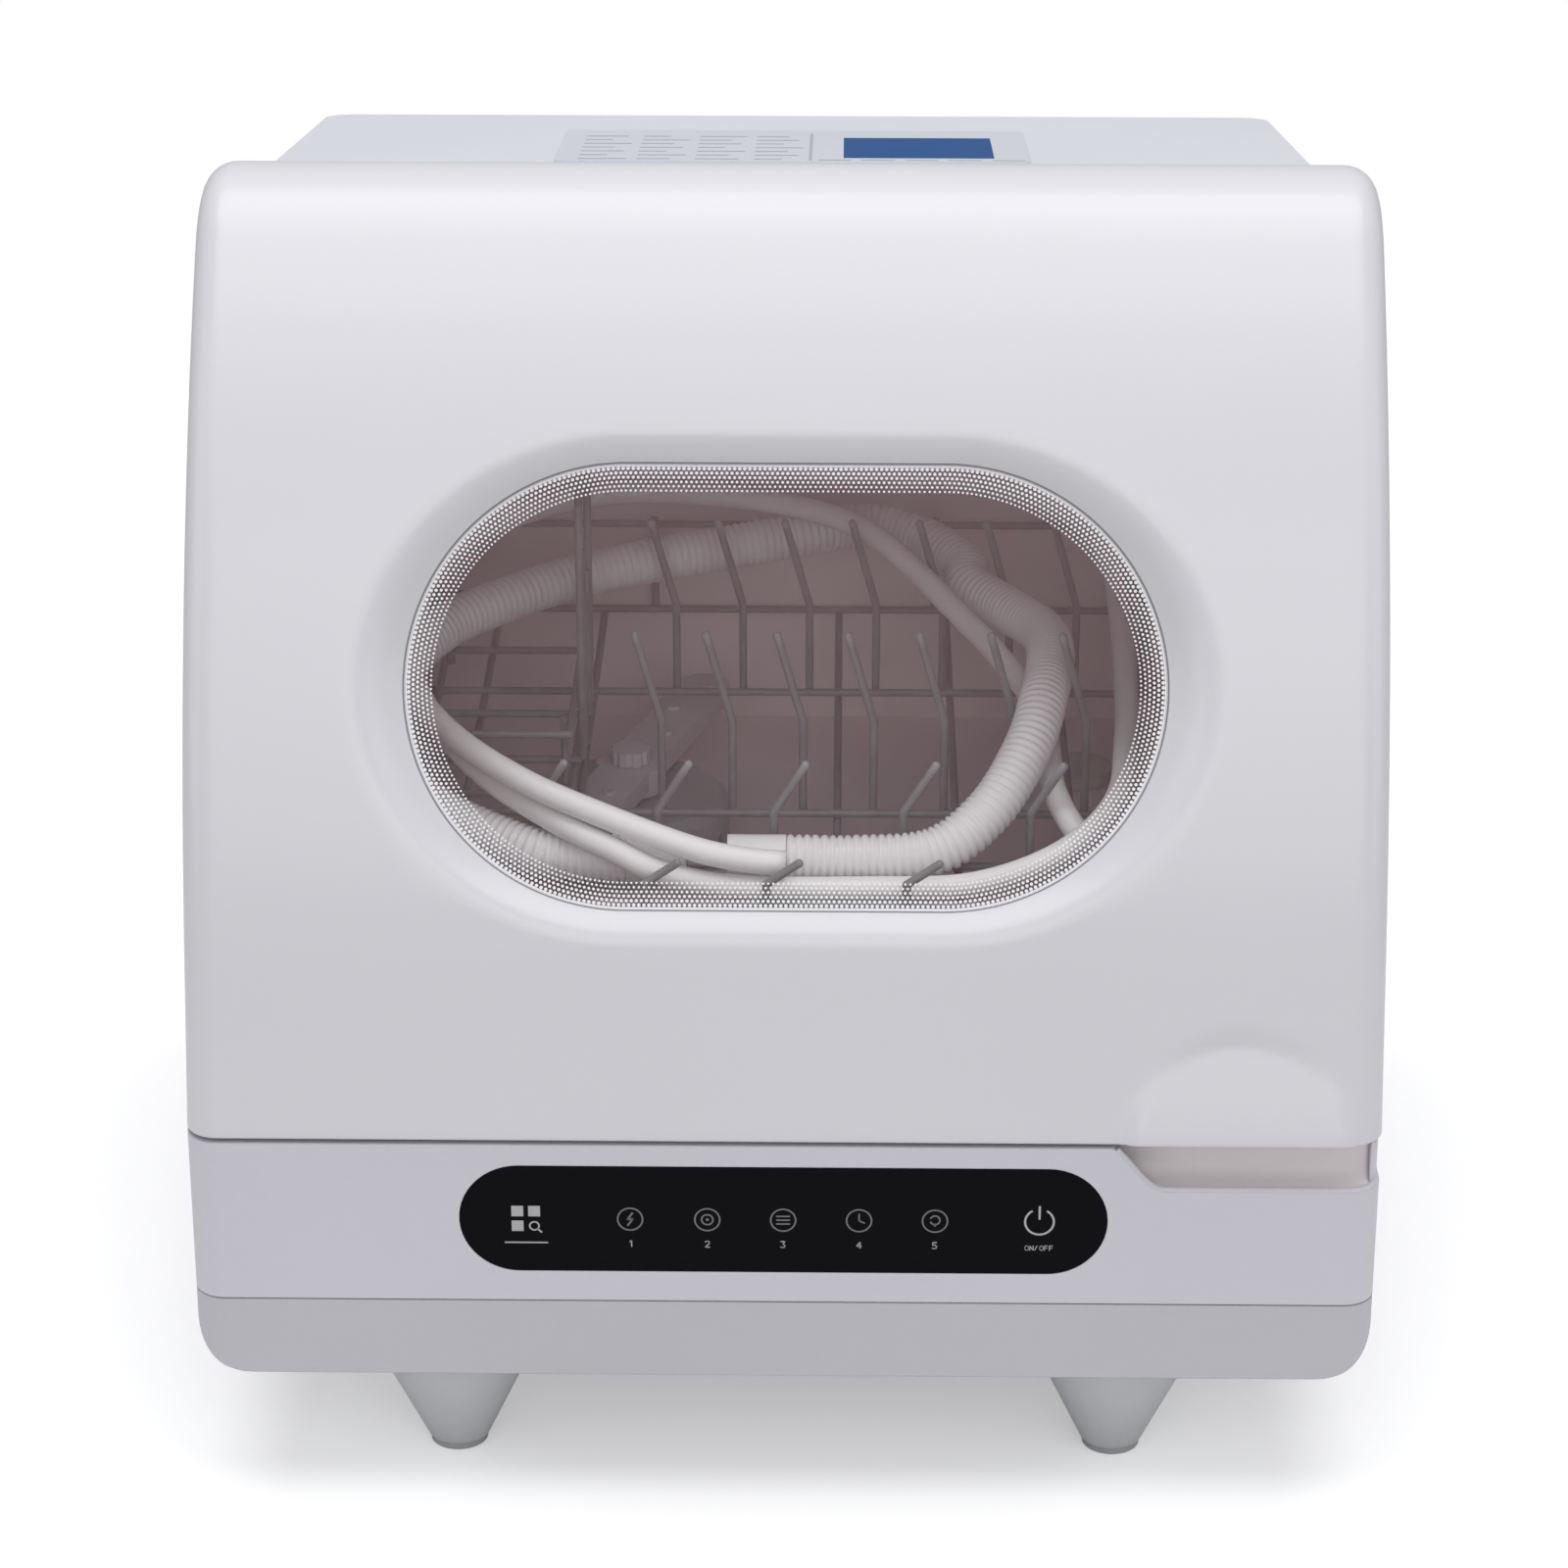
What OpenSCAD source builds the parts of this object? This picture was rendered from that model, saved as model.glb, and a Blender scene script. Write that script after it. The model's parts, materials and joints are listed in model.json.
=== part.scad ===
// Countertop dishwasher with a lift-up curved hood, a wire dish rack and stored hoses.
// X is to the right, Y to the back and Z up. The origin is under the middle, on the ground.
// Places are written from the front plane of the body and moved by from_front().

/* [Body] */
// Width of the body and the hood
body_w = 440; // [420:1:480]
// Depth of the body from its front plane to its back plate
body_d = 400; // [396:1:430]
// Wall of the moulded casing
casing_t = 2.5; // [2:0.1:3]
// Radius of the casing's upright corners
corner_r = 12; // [8:1:14]
// Radius of the lower corners seen from the front
keel_r = 21; // [14:1:24]
// Height of the bottom tray
tray_h = 32; // [28:1:36]
// Height of the lower front panel
fascia_h = 65; // [60:1:70]
// Height of the shoulder beside the raised top
shoulder_z = 402; // [396:1:408]
// Gap between mating casing parts
seam = 0.5; // [0.3:0.1:1]

/* [Feet] */
// Height of a foot with its pad
foot_h = 53; // [45:1:60]
// Radius of a foot where it meets the tray
foot_top_r = 35; // [28:1:36]
// Radius of a foot at its pad
foot_tip_r = 11; // [9:0.5:14]
// Thickness of a foot's rubber pad
pad_t = 3; // [2:0.5:5]
// Distance of a foot's centre from the middle
foot_x = 126; // [110:1:150]
// Distance of a foot's centre from the front or back plane
foot_inset = 42; // [40:1:50]

/* [Hood] */
// Height of the straight lower part of the hood
hood_straight = 61; // [50:1:70]
// Lean of the straight lower part
lean_low = 14; // [10:0.5:16]
// Lean where the crown begins
lean_high = 42; // [40:0.5:44]
// Radius of the curved front
hood_r = 561; // [550:1:575]
// Radius of the crown over the hinge
crown_r = 48; // [44:1:52]
// Angle behind the hinge where the crown ends
crown_back = 45; // [40:1:50]
// Depth of the hood from its skin to its liner
hood_t = 24; // [22:0.5:26]
// Wall of the hood's skin
skin_t = 3; // [2.5:0.1:3.5]
// Wall of the hood's liner
liner_t = 2; // [1.5:0.1:2.5]
// Height of the swelling over the finger pull
pull_rise = 3; // [1:0.5:5]
// Half width of the finger pull
pull_r = 41; // [34:1:46]
// Place of the finger pull from the middle
pull_x = 167; // [150:1:170]

/* [Window] */
// Width of the glass that shows
glass_w = 278; // [240:1:290]
// Height of the glass that shows
glass_h = 162; // [150:1:166]
// Thickness of the glass
glass_t = 4; // [3:0.5:5]
// Depth of the glass below the skin at the window's middle
glass_depth = 15; // [14:0.5:16]
// Lean of the glass
glass_lean = 24.8; // [24:0.2:26]
// Width of the seat round the glass
glass_seat = 7; // [5:0.5:8]

/* [Touch panel] */
// Width of the black touch panel
touch_w = 239; // [200:1:260]
// Height of the black touch panel
touch_h = 44; // [38:0.5:50]
// Thickness of the touch panel
touch_t = 2; // [1.5:0.1:2.5]

/* [Tub] */
// Inside width of the tub
tub_w = 376; // [360:1:380]
// Height of the tub's floor above the ground
tub_floor_z = 166; // [164:1:168]
// Height of the tub's ceiling above the ground
tub_top_z = 376; // [370:1:378]
// Room behind the tub's back wall
fan_room = 36; // [34:1:38]
// Wall of the tub
tub_t = 2; // [1.5:0.1:2.5]
// Gap between the closed hood and the tub's flange, filled by the seal
seal_gap = 4; // [3:0.5:5]

/* [Rack] */
// Diameter of the rack's wire
wire_d = 3.2; // [2.8:0.1:3.6]
// Height of the rack's floor wires above the ground
rack_z = 219; // [217:0.5:222]
// Width of the rack
rack_w = 344; // [330:1:350]
// Distance between two tines
tine_pitch = 27.3; // [25:0.1:28]
// Height of the plate tines
tine_h = 75; // [60:1:85]
// Travel of the rack
rack_travel = 180; // [100:1:190]

/* [Hoses] */
// Outside diameter of the ribbed drain hose
drain_hose_d = 19; // [17:0.5:19]
// Bore of the ribbed drain hose
drain_bore_d = 14; // [10:0.5:15]
// Ribs on the drain hose
hose_ribs = 150; // [60:1:180]
// Outside diameter of the water tube
tube_d = 9.5; // [8:0.1:9.5]

/* [Ports] */
// How far the ports stand out of the back plate
port_out = 12; // [8:1:20]
// Radius of the drain spigot
spigot_r = 8; // [6:0.5:9]
// Bore radius of the water inlet
inlet_bore_r = 4.8; // [4.2:0.1:5]

/* [Hidden] */
// Facets of a large and of a small round surface
big_fn = 360;
small_fn = 64;
// A running clearance and the gap between pieces that only touch
run_gap = 0.05;
touch_gap = 0.3;
// How much rounder a bend is than the wire or pipe it joins
joint_extra = 0.12;
// The swelling over the finger pull, and how far it stands out in front
pull_ball_r = (pull_r * pull_r + pull_rise * pull_rise) / (2 * pull_rise);
pull_reach = pull_ball_r - pull_rise;
pull_out = sqrt(pull_ball_r * pull_ball_r - pow(pull_reach * sin(lean_low), 2)) - pull_reach * cos(lean_low);
front_y = -(body_d + port_out - pull_out) / 2;
half_w = body_w / 2;
tray_z = foot_h;
fascia_z = tray_z + tray_h;
hood_z = fascia_z + fascia_h + 1.5;
crease_z = hood_z + hood_straight;
crease_y = hood_straight * tan(lean_low);
// Centre of the curved front, and of the crown, which is the hinge line
arc_y = crease_y + hood_r * cos(lean_low);
arc_z = crease_z - hood_r * sin(lean_low);
hinge_y = arc_y - (hood_r - crown_r) * cos(lean_high);
hinge_z = arc_z + (hood_r - crown_r) * sin(lean_high);
window_y = arc_y - hood_r * cos(glass_lean);
window_z = arc_z + hood_r * sin(glass_lean);
window_w = glass_w + 2 * glass_depth;
window_h = glass_h + 2 * glass_depth;
flange_gap = hood_t + seal_gap;
flange_w = 20;
flange_t = 2.5;
tub_half = tub_w / 2;
sump_x = -65;
sump_y = 225;
sump_r = 38;
sump_bottom_z = 118;
dome_r = 40;
dome_z = tub_floor_z + 26;
arm_z = dome_z + 5;
runner_z = rack_z - wire_d * 1.5 - 7;
shoe_x = 184.5;
shoe_h = 4;
back_y = body_d;
tub_back_y = back_y - fan_room;

// Moves a piece from the front plane to the part's own origin.
module from_front() {
    translate([0, front_y, 0]) children();
}

// Pulls a side profile out along X.
module along_x(x0, x1) {
    translate([x0, 0, 0]) rotate([90, 0, 90]) linear_extrude(x1 - x0) children();
}

// Pulls a front profile out along Y.
module along_y(y0, y1) {
    translate([0, y1, 0]) rotate([90, 0, 0]) linear_extrude(y1 - y0) children();
}

// A block between two corners.
module block(low, high) {
    translate(low) cube(high - low);
}

// A straight round bar between two points.
module rod(p, q, d) {
    v = q - p;
    l = norm(v);
    translate(p) rotate([0, acos(v[2] / l), atan2(v[1], v[0])]) cylinder(d = d, h = l, $fn = 24);
}

// A bent wire through a list of points.
module wire(points, d = wire_d) {
    for (i = [0:len(points) - 2]) rod(points[i], points[i + 1], d);
    for (p = points) translate(p) sphere(d = d + joint_extra, $fn = 24);
}

// A flat stadium, wider than it is high.
module stadium(w, h) {
    for (s = [-1, 1]) translate([s * (w - h) / 2, 0]) circle(d = h, $fn = 128);
    square([w - h, h], center = true);
}

// A rectangle with four round corners.
module round_rect(w, h, r) {
    square([w - 2 * r, h], center = true);
    square([w, h - 2 * r], center = true);
    for (x = [-1, 1], y = [-1, 1]) translate([x * (w / 2 - r), y * (h / 2 - r)]) circle(r = r, $fn = small_fn);
}

// Points on the hood's side curve, at a depth below its skin.
function lean_at(z, depth) = asin((z - arc_z) / (hood_r - depth));
function arc_point(lean, depth) =
    [arc_y - (hood_r - depth) * cos(lean), arc_z + (hood_r - depth) * sin(lean)];
function low_point(z, depth) =
    let (p = arc_point(lean_low, depth)) [p[0] - (p[1] - z) * tan(lean_low), z];
function front_curve(z0, z1, depth) =
    let (steps = 24, top = lean_at(z1, depth))
    concat([low_point(z0, depth)],
        [for (i = [0:steps]) arc_point(lean_low + (top - lean_low) * i / steps, depth)]);
function backward(list) = [for (i = [len(list) - 1:-1:0]) list[i]];
// A strip along the curve between two depths
function front_band(z0, z1, near, far) =
    concat(front_curve(z0, z1, near), backward(front_curve(z0, z1, far)));

// The window's own frame: X across, Y up the glass and Z out of the skin.
module at_window() {
    translate([0, window_y, window_z]) rotate([90 - glass_lean, 0, 0]) children();
}

// A stadium that widens towards the skin, from one depth to another.
module flared_stadium(w, h, deep, high) {
    rise = deep + high;
    for (s = [-1, 1]) translate([s * (w - h) / 2, 0, -deep])
        cylinder(r1 = h / 2, r2 = h / 2 + rise, h = rise, $fn = 128);
    translate([-(w - h) / 2, 0, -deep]) rotate([90, 0, 90]) linear_extrude(w - h)
        polygon([[-h / 2, 0], [h / 2, 0], [h / 2 + rise, rise], [-h / 2 - rise, rise]]);
}

// The casing's outline from above, drawn in by a margin.
module plan(margin) {
    r = corner_r - min(margin, corner_r - 2);
    translate([0, body_d / 2]) round_rect(body_w - 2 * margin, body_d - 2 * margin, r);
}

// The casing's outline from the front, with the round lower corners.
module keel(margin) {
    r = keel_r - margin;
    w = body_w - 2 * margin;
    low = tray_z + margin;
    translate([-w / 2, low + r]) square([w, fascia_z - low]);
    translate([-w / 2 + r, low]) square([w - 2 * r, r * 2]);
    for (s = [-1, 1]) translate([s * (w / 2 - r), low + r]) circle(r = r, $fn = small_fn);
}

module tray_block(margin, top) {
    intersection() {
        translate([0, 0, tray_z]) linear_extrude(top - tray_z) plan(margin);
        along_y(-1, body_d + 1) keel(margin);
    }
}

foot_ys = [foot_inset, body_d - foot_inset];
foot_screw_r = 2.5;

module base_tray() {
    color("gainsboro") from_front() difference() {
        union() {
            difference() {
                tray_block(0, fascia_z - seam);
                intersection() {
                    translate([0, 0, tray_z + casing_t]) linear_extrude(tray_h * 2) plan(casing_t);
                    along_y(-1, body_d + 1) keel(casing_t);
                }
            }
            // Posts that carry the machinery and the casing screws
            for (x = [-1, 1], y = foot_ys)
                translate([x * foot_x, y, tray_z]) cylinder(r = 8, h = tray_h - 6, $fn = small_fn);
            for (p = pump_posts)
                translate([p[0], p[1], tray_z]) cylinder(r = 5, h = casing_t + 6, $fn = small_fn);
            for (x = [-1, 1], y = [60, 340])
                block([x * 196 - 6, y - 8, tray_z + casing_t - 1], [x * 196 + 6, y + 8, fascia_z - seam]);
        }
        for (x = [-1, 1], y = foot_ys)
            translate([x * foot_x, y, tray_z - 1]) cylinder(r = foot_screw_r, h = 22, $fn = small_fn);
        // Air slots under the pumps
        for (i = [-4:4])
            block([i * 12 - 3, 170, tray_z - 1], [i * 12 + 3, 230, tray_z + casing_t + 1]);
    }
}

pump_posts = [[-112, 150], [-28, 150], [-112, 300], [-28, 300], [60, 250], [150, 250]];

module foot(x, y) {
    from_front() translate([x, y, 0]) difference() {
        translate([0, 0, pad_t + touch_gap])
            cylinder(r1 = foot_tip_r + 1, r2 = foot_top_r, h = foot_h - pad_t - touch_gap - run_gap, $fn = 96);
        translate([0, 0, 20]) cylinder(r = foot_screw_r - 0.1, h = foot_h, $fn = small_fn);
        translate([0, 0, pad_t - 1]) cylinder(r = 3, h = 8, $fn = small_fn);
    }
}

module foot_front_left() { color("lightgray") foot(-foot_x, foot_ys[0]); }
module foot_front_right() { color("lightgray") foot(foot_x, foot_ys[0]); }
module foot_rear_left() { color("lightgray") foot(-foot_x, foot_ys[1]); }
module foot_rear_right() { color("lightgray") foot(foot_x, foot_ys[1]); }

module foot_pads() {
    color("dimgray") from_front() for (x = [-1, 1], y = foot_ys) translate([x * foot_x, y, 0]) {
        cylinder(r = foot_tip_r, h = pad_t, $fn = small_fn);
        translate([0, 0, pad_t - 0.5]) cylinder(r = 2.7, h = 6, $fn = small_fn);
    }
}

// Lower front panel
touch_x = 0;
touch_z = fascia_z + 34.5;
notch_x0 = 116;
notch_x1 = 140;
notch_z = hood_z - 19;
ledge_y = 12;
cove_r = 8;
fascia_top = fascia_z + fascia_h;

// The finger notch seen from the front, with an S-shaped left end.
module notch_outline(extra) {
    steps = 16;
    drop = fascia_top - notch_z + 2;
    polygon(concat([[half_w + extra, fascia_top + 2], [half_w + extra, notch_z]],
        [for (i = [0:steps]) [notch_x1 - (notch_x1 - notch_x0) * i / steps,
            notch_z + drop * (1 - cos(180 * i / steps)) / 2]]));
}

module fascia_outline() {
    intersection() {
        plan(0);
        translate([-half_w, 0]) square([body_w, 26]);
    }
}

module lower_front_panel() {
    color("whitesmoke") from_front() {
        difference() {
            union() {
                translate([0, 0, fascia_z]) linear_extrude(fascia_h) difference() {
                    fascia_outline();
                    intersection() {
                        plan(skin_t);
                        translate([-half_w, 0]) square([body_w, 30]);
                    }
                }
                // Top edge under the hood
                translate([0, 0, fascia_top - 2.5]) linear_extrude(2.5) fascia_outline();
                along_x(-half_w + 5, half_w - 5) translate([24, fascia_top - 2.5]) square([11, 2.5]);
                // Rim behind the touch panel
                along_y(skin_t - 0.5, 5) translate([touch_x, touch_z]) stadium(touch_w + 6, touch_h + 6);
            }
            along_y(-1, touch_t + run_gap) translate([touch_x, touch_z]) stadium(touch_w + 0.3, touch_h + 0.3);
            along_y(-1, 8) translate([touch_x, touch_z]) stadium(touch_w - 8, touch_h - 8);
            along_y(-1, 40) notch_outline(5);
        }
        // Recessed ledge behind the notch
        difference() {
            along_x(notch_x0 - 2, half_w - 4) difference() {
                translate([0.5, notch_z - 3]) square([ledge_y + 2, fascia_top - notch_z + 3]);
                translate([-1, notch_z + cove_r]) square([ledge_y + 1, fascia_top]);
                translate([ledge_y - cove_r, notch_z + cove_r]) circle(r = cove_r, $fn = small_fn);
                translate([-1, notch_z]) square([ledge_y - cove_r + 1, fascia_top]);
            }
            along_y(-1, 2.9) notch_outline(5);
            translate([0, 0, fascia_z]) linear_extrude(fascia_h) difference() {
                translate([-half_w - 5, -5]) square([body_w + 10, 60]);
                plan(1);
            }
        }
    }
}

module touch_panel() {
    color("black") from_front() along_y(0.05, touch_t)
        translate([touch_x, touch_z]) stadium(touch_w, touch_h);
}

key_xs = [24.5 - touch_w / 2, -56.5, -28, 0, 28, 56, touch_w / 2 - 25];

module touch_board() {
    color("darkgreen") from_front() {
        along_y(9, 10.6) translate([touch_x, touch_z]) square([touch_w - 14, touch_h - 14], center = true);
        // Sensing springs and lamps behind each key
        for (x = key_xs) translate([x, 9, touch_z]) rotate([90, 0, 0])
            cylinder(r = 4, h = 9 - touch_t - touch_gap, $fn = 32);
        for (x = [-1, 1]) translate([x * (touch_w / 2 - 15.5), 10.6, touch_z]) rotate([-90, 0, 0])
            cylinder(r = 3, h = 6, $fn = 32);
    }
}

// Side panels: they follow the hood's curve in front and clear its swinging crown.
module side_outline() {
    back = back_y - casing_t - seam;
    difference() {
        polygon(concat(
            [[26 + seam, fascia_z], [26 + seam, fascia_top + 1]],
            front_curve(fascia_top + 1, hinge_z - 14, hood_t + 2),
            [[hinge_y + 30, shoulder_z], [back, shoulder_z], [back, fascia_z]]));
        translate([hinge_y, hinge_z]) circle(r = ear_r + 1.5, $fn = 128);
        // Room for the crown when the hood is up
        translate([hinge_y, hinge_z]) intersection() {
            circle(r = crown_r + 1.5, $fn = 128);
            polygon([[0, 0], [0, body_d], [body_d, body_d], [body_d, -body_d / 2], [body_d * cos(trough_end),
                -body_d * sin(trough_end)]]);
        }
    }
}

module side_panel() {
    difference() {
        union() {
            along_x(half_w - casing_t, half_w) side_outline();
            // Inward ribs that the tub and the rear panel screw to
            along_x(half_w - 8, half_w - casing_t + 0.01) translate([back_y - 14, fascia_z + 4])
                square([14 - casing_t - touch_gap, shoulder_z - fascia_z - 10]);
        }
        for (p = screw_places) translate([abs(p[0]), back_y - 16, p[1]])
            rotate([-90, 0, 0]) cylinder(r = screw_r + run_gap, h = 20, $fn = 32);
        // Air slots low at the back
        for (i = [0:7]) block([half_w - 9, 250 + i * 12, fascia_z + 16], [half_w + 1, 255 + i * 12, fascia_z + 52]);
    }
}

module side_panel_right() { color("whitesmoke") from_front() side_panel(); }
module side_panel_left() { color("whitesmoke") from_front() mirror([1, 0, 0]) side_panel(); }

// Raised top, its front lip and the trough behind the crown.
top_back_z = 426;
top_half_front = half_w - 17;
top_half_back = half_w - 23;
top_lip_y = hinge_y + (crown_r + 1) * sin(crown_back);
top_lip_z = hinge_z + (crown_r + 1) * cos(crown_back);
deck_z = shoulder_z;

function top_z_at(y) = top_lip_z + (top_back_z - top_lip_z) * (y - top_lip_y) / (back_y - 2 - top_lip_y);

// Angle below level where the trough behind the crown ends
trough_end = 38;

module top_cover() {
    lip_r = crown_r + 1;
    color("aliceblue") from_front() difference() {
        union() {
            // Trough that the crown turns into
            side_view(hinge_y, hinge_z) rotate([0, 0, -trough_end])
                rotate_extrude(angle = trough_end + 90 - crown_back, $fn = big_fn)
                    translate([lip_r - 0.5, -half_w + casing_t + seam])
                        square([casing_t + 0.5, body_w - 2 * casing_t - 2 * seam]);
            // Shoulder deck on both sides
            along_x(-half_w, half_w) polygon([[top_lip_y - 4, deck_z + seam], [back_y, deck_z + seam],
                [back_y, deck_z + seam + casing_t], [top_lip_y - 4, deck_z + seam + casing_t]]);
            // Raised body
            intersection() {
                along_x(-half_w, half_w) polygon([[top_lip_y, deck_z + seam], [top_lip_y, top_lip_z],
                    [back_y - 2, top_back_z], [back_y - 2, deck_z + seam]]);
                translate([0, 0, deck_z - 5]) linear_extrude(80) raised_plan(0);
            }
        }
        intersection() {
            along_x(-half_w, half_w) polygon([[top_lip_y + casing_t, deck_z - 5],
                [top_lip_y + casing_t, top_lip_z - casing_t], [back_y - 2 - casing_t, top_back_z - casing_t],
                [back_y - 2 - casing_t, deck_z - 5]]);
            translate([0, 0, deck_z - 8]) linear_extrude(80) raised_plan(casing_t);
        }
        along_x(-half_w - 1, half_w + 1) translate([hinge_y, hinge_z]) circle(r = lip_r, $fn = 128);
        // The deck keeps the casing's round back corners
        difference() {
            block([-half_w - 5, back_y - 30, deck_z - 5], [half_w + 5, back_y + 5, deck_z + 10]);
            translate([0, 0, deck_z - 6]) linear_extrude(20) plan(0);
        }
    }
}

// Outline of the raised top from above, with round back corners.
module raised_plan(margin) {
    r = 12 - margin;
    hf = top_half_front - margin;
    hb = top_half_back - margin;
    y1 = back_y - 2 - margin;
    polygon([[-hf, top_lip_y - 10], [hf, top_lip_y - 10], [hb, y1 - r], [hb - r, y1 - r], [hb - r, y1],
        [-hb + r, y1], [-hb + r, y1 - r], [-hb, y1 - r]]);
    for (s = [-1, 1]) translate([s * (hb - r), y1 - r]) circle(r = r, $fn = small_fn);
}

plate_w = 186;
plate_l = 96;
plate_y = 345;
top_slope = atan((top_lip_z - top_back_z) / (back_y - 2 - top_lip_y));

// Thin plate stuck on the raised top
module top_plate() {
    color("silver") from_front() translate([0, plate_y - plate_l / 2, top_z_at(plate_y - plate_l / 2)])
        rotate([-top_slope, 0, 0]) translate([0, 0, run_gap])
            linear_extrude(0.6) round_rect(plate_w, plate_l, 3);
}

module rear_panel() {
    h = deck_z - fascia_z;
    color("whitesmoke") from_front() difference() {
        block([-half_w + casing_t + seam, back_y - casing_t, fascia_z],
            [half_w - casing_t - seam, back_y, deck_z]);
        // Ports, gland and the fan's outlet
        translate([spigot_x, back_y - 5, port_z]) rotate([-90, 0, 0]) cylinder(r = spigot_flange_r + 0.2, h = 10, $fn = small_fn);
        translate([inlet_x, back_y - 5, port_z]) rotate([-90, 0, 0]) cylinder(r = inlet_body_r + 0.2, h = 10, $fn = small_fn);
        translate([gland_x, back_y - 5, port_z]) rotate([-90, 0, 0]) cylinder(r = gland_r + 0.2, h = 10, $fn = small_fn);
        for (p = screw_places) translate([p[0], back_y - 5, p[1]])
            rotate([-90, 0, 0]) cylinder(r = screw_r + run_gap, h = 10, $fn = 32);
        for (i = [0:8]) block([60 + i * 10, back_y - 5, 330], [65 + i * 10, back_y + 1, 372]);
        for (i = [0:11]) block([-150 + i * 10, back_y - 5, 190], [-145 + i * 10, back_y + 1, 250]);
    }
}

// Tub with its front flange. A hole in its floor leads down to the sump.
module tub_inside(grow) {
    z0 = tub_floor_z - grow;
    z1 = tub_top_z + grow;
    polygon(concat(front_curve(z0, z1, flange_gap), [[tub_back_y + grow, z1], [tub_back_y + grow, z0]]));
}

spout_h = 8;

module tub() {
    color("gainsboro") from_front() difference() {
        union() {
            along_x(-tub_half - tub_t, tub_half + tub_t) tub_inside(tub_t);
            along_x(-tub_half - flange_w, tub_half + flange_w)
                polygon(front_band(fascia_top + seam, tub_top_z + 14, flange_gap, flange_gap + flange_t));
            translate([sump_x, sump_y, tub_floor_z - spout_h])
                cylinder(r = sump_r + 3, h = spout_h, $fn = 96);
            translate([float_x, float_y, tub_floor_z - spout_h])
                cylinder(r = float_hole_r + 2, h = spout_h, $fn = small_fn);
        }
        along_x(-tub_half, tub_half) tub_inside(0);
        along_x(-tub_half, tub_half)
            polygon(front_band(tub_floor_z, tub_top_z, flange_gap - 2, flange_gap + flange_t + 3));
        translate([sump_x, sump_y, tub_floor_z - 2 * spout_h]) cylinder(r = sump_r, h = 20, $fn = 96);
        translate([float_x, float_y, tub_floor_z - 2 * spout_h])
            cylinder(r = float_hole_r, h = 20, $fn = small_fn);
        // Drying air comes in through the back wall
        translate([fan_x, tub_back_y - 5, fan_z]) rotate([-90, 0, 0]) cylinder(r = duct_r, h = 10, $fn = small_fn);
        for (s = [-1, 1], y = runner_screws) translate([s * (tub_half - 2), y, runner_z - 6])
            rotate([0, s * 90, 0]) cylinder(r = 1.6, h = 6, $fn = 32);
    }
}

module tub_seal() {
    w = tub_half + 10;
    color("dimgray") from_front() difference() {
        along_x(-w, w)
            polygon(front_band(tub_floor_z - 7, tub_top_z + 9, hood_t + touch_gap, flange_gap - run_gap));
        along_x(-w + 8, w - 8)
            polygon(front_band(tub_floor_z, tub_top_z + 1, hood_t - 2, flange_gap + 2));
    }
}

runner_screws = [90, 330];
runner_w = 22;

// Ledges on the tub's side walls that the rack's shoes slide along
module rack_runners() {
    color("lightgray") from_front() for (s = [-1, 1]) {
        translate([s * (tub_half - runner_w / 2), 0, 0])
            block([-runner_w / 2, 62, runner_z - 3], [runner_w / 2, tub_back_y - 8, runner_z]);
        translate([s * (tub_half - 1.5), 0, 0])
            block([-1.5, 62, runner_z - 10], [1.5, tub_back_y - 8, runner_z + shoe_h + 2]);
        // Lip that keeps the shoes down
        translate([s * (tub_half - 4.5), 0, 0])
            block([-4.5, 62, runner_z + shoe_h + 0.3], [4.5, tub_back_y - 8, runner_z + shoe_h + 2.3]);
        for (y = runner_screws) translate([s * (tub_half - 1), y, runner_z - 6])
            rotate([0, s * 90, 0]) cylinder(r = 1.5, h = 5, $fn = 32);
    }
}

// Sump with an outlet to each pump and an inlet for the fresh water
sump_wall = 2.5;
outlet_z = sump_bottom_z + 14;
outlet_r = 9;
outlet_l = sump_r + 18;
cup_seat_z = tub_floor_z - spout_h - 3;

module sump() {
    color("darkgray") from_front() translate([sump_x, sump_y, 0]) difference() {
        union() {
            translate([0, 0, sump_bottom_z])
                cylinder(r = sump_r + 3, h = tub_floor_z - spout_h - run_gap - sump_bottom_z, $fn = 96);
            for (s = [-1, 1]) translate([0, 0, outlet_z]) rotate([0, s * 90, 0])
                cylinder(r = outlet_r, h = outlet_l, $fn = small_fn);
            translate([0, 0, riser_z]) rotate([90, 0, 0]) cylinder(r = hose_r, h = sump_r + 10, $fn = small_fn);
            translate([0, 0, riser_z]) rotate([-90, 0, 0]) cylinder(r = 6, h = sump_r + 10, $fn = small_fn);
        }
        difference() {
            translate([0, 0, sump_bottom_z + sump_wall]) cylinder(r = sump_r, h = 60, $fn = 96);
            // Seat for the filter cup's rim
            difference() {
                translate([0, 0, cup_seat_z - 3]) cylinder(r = sump_r + 1, h = 3, $fn = 96);
                translate([0, 0, cup_seat_z - 4]) cylinder(r = cup_r + 2, h = 5, $fn = 96);
            }
        }
        for (s = [-1, 1]) translate([0, 0, outlet_z]) rotate([0, s * 90, 0])
            cylinder(r = outlet_r - 2.5, h = outlet_l + 1, $fn = small_fn);
        translate([0, 0, riser_z]) rotate([90, 0, 0]) cylinder(r = hose_r - 2, h = sump_r + 11, $fn = small_fn);
        translate([0, 0, riser_z]) rotate([-90, 0, 0]) cylinder(r = 4, h = sump_r + 11, $fn = small_fn);
    }
}

riser_z = sump_bottom_z + 27;
hose_r = 7;
cup_r = 22;
slot_step = 20;

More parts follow.
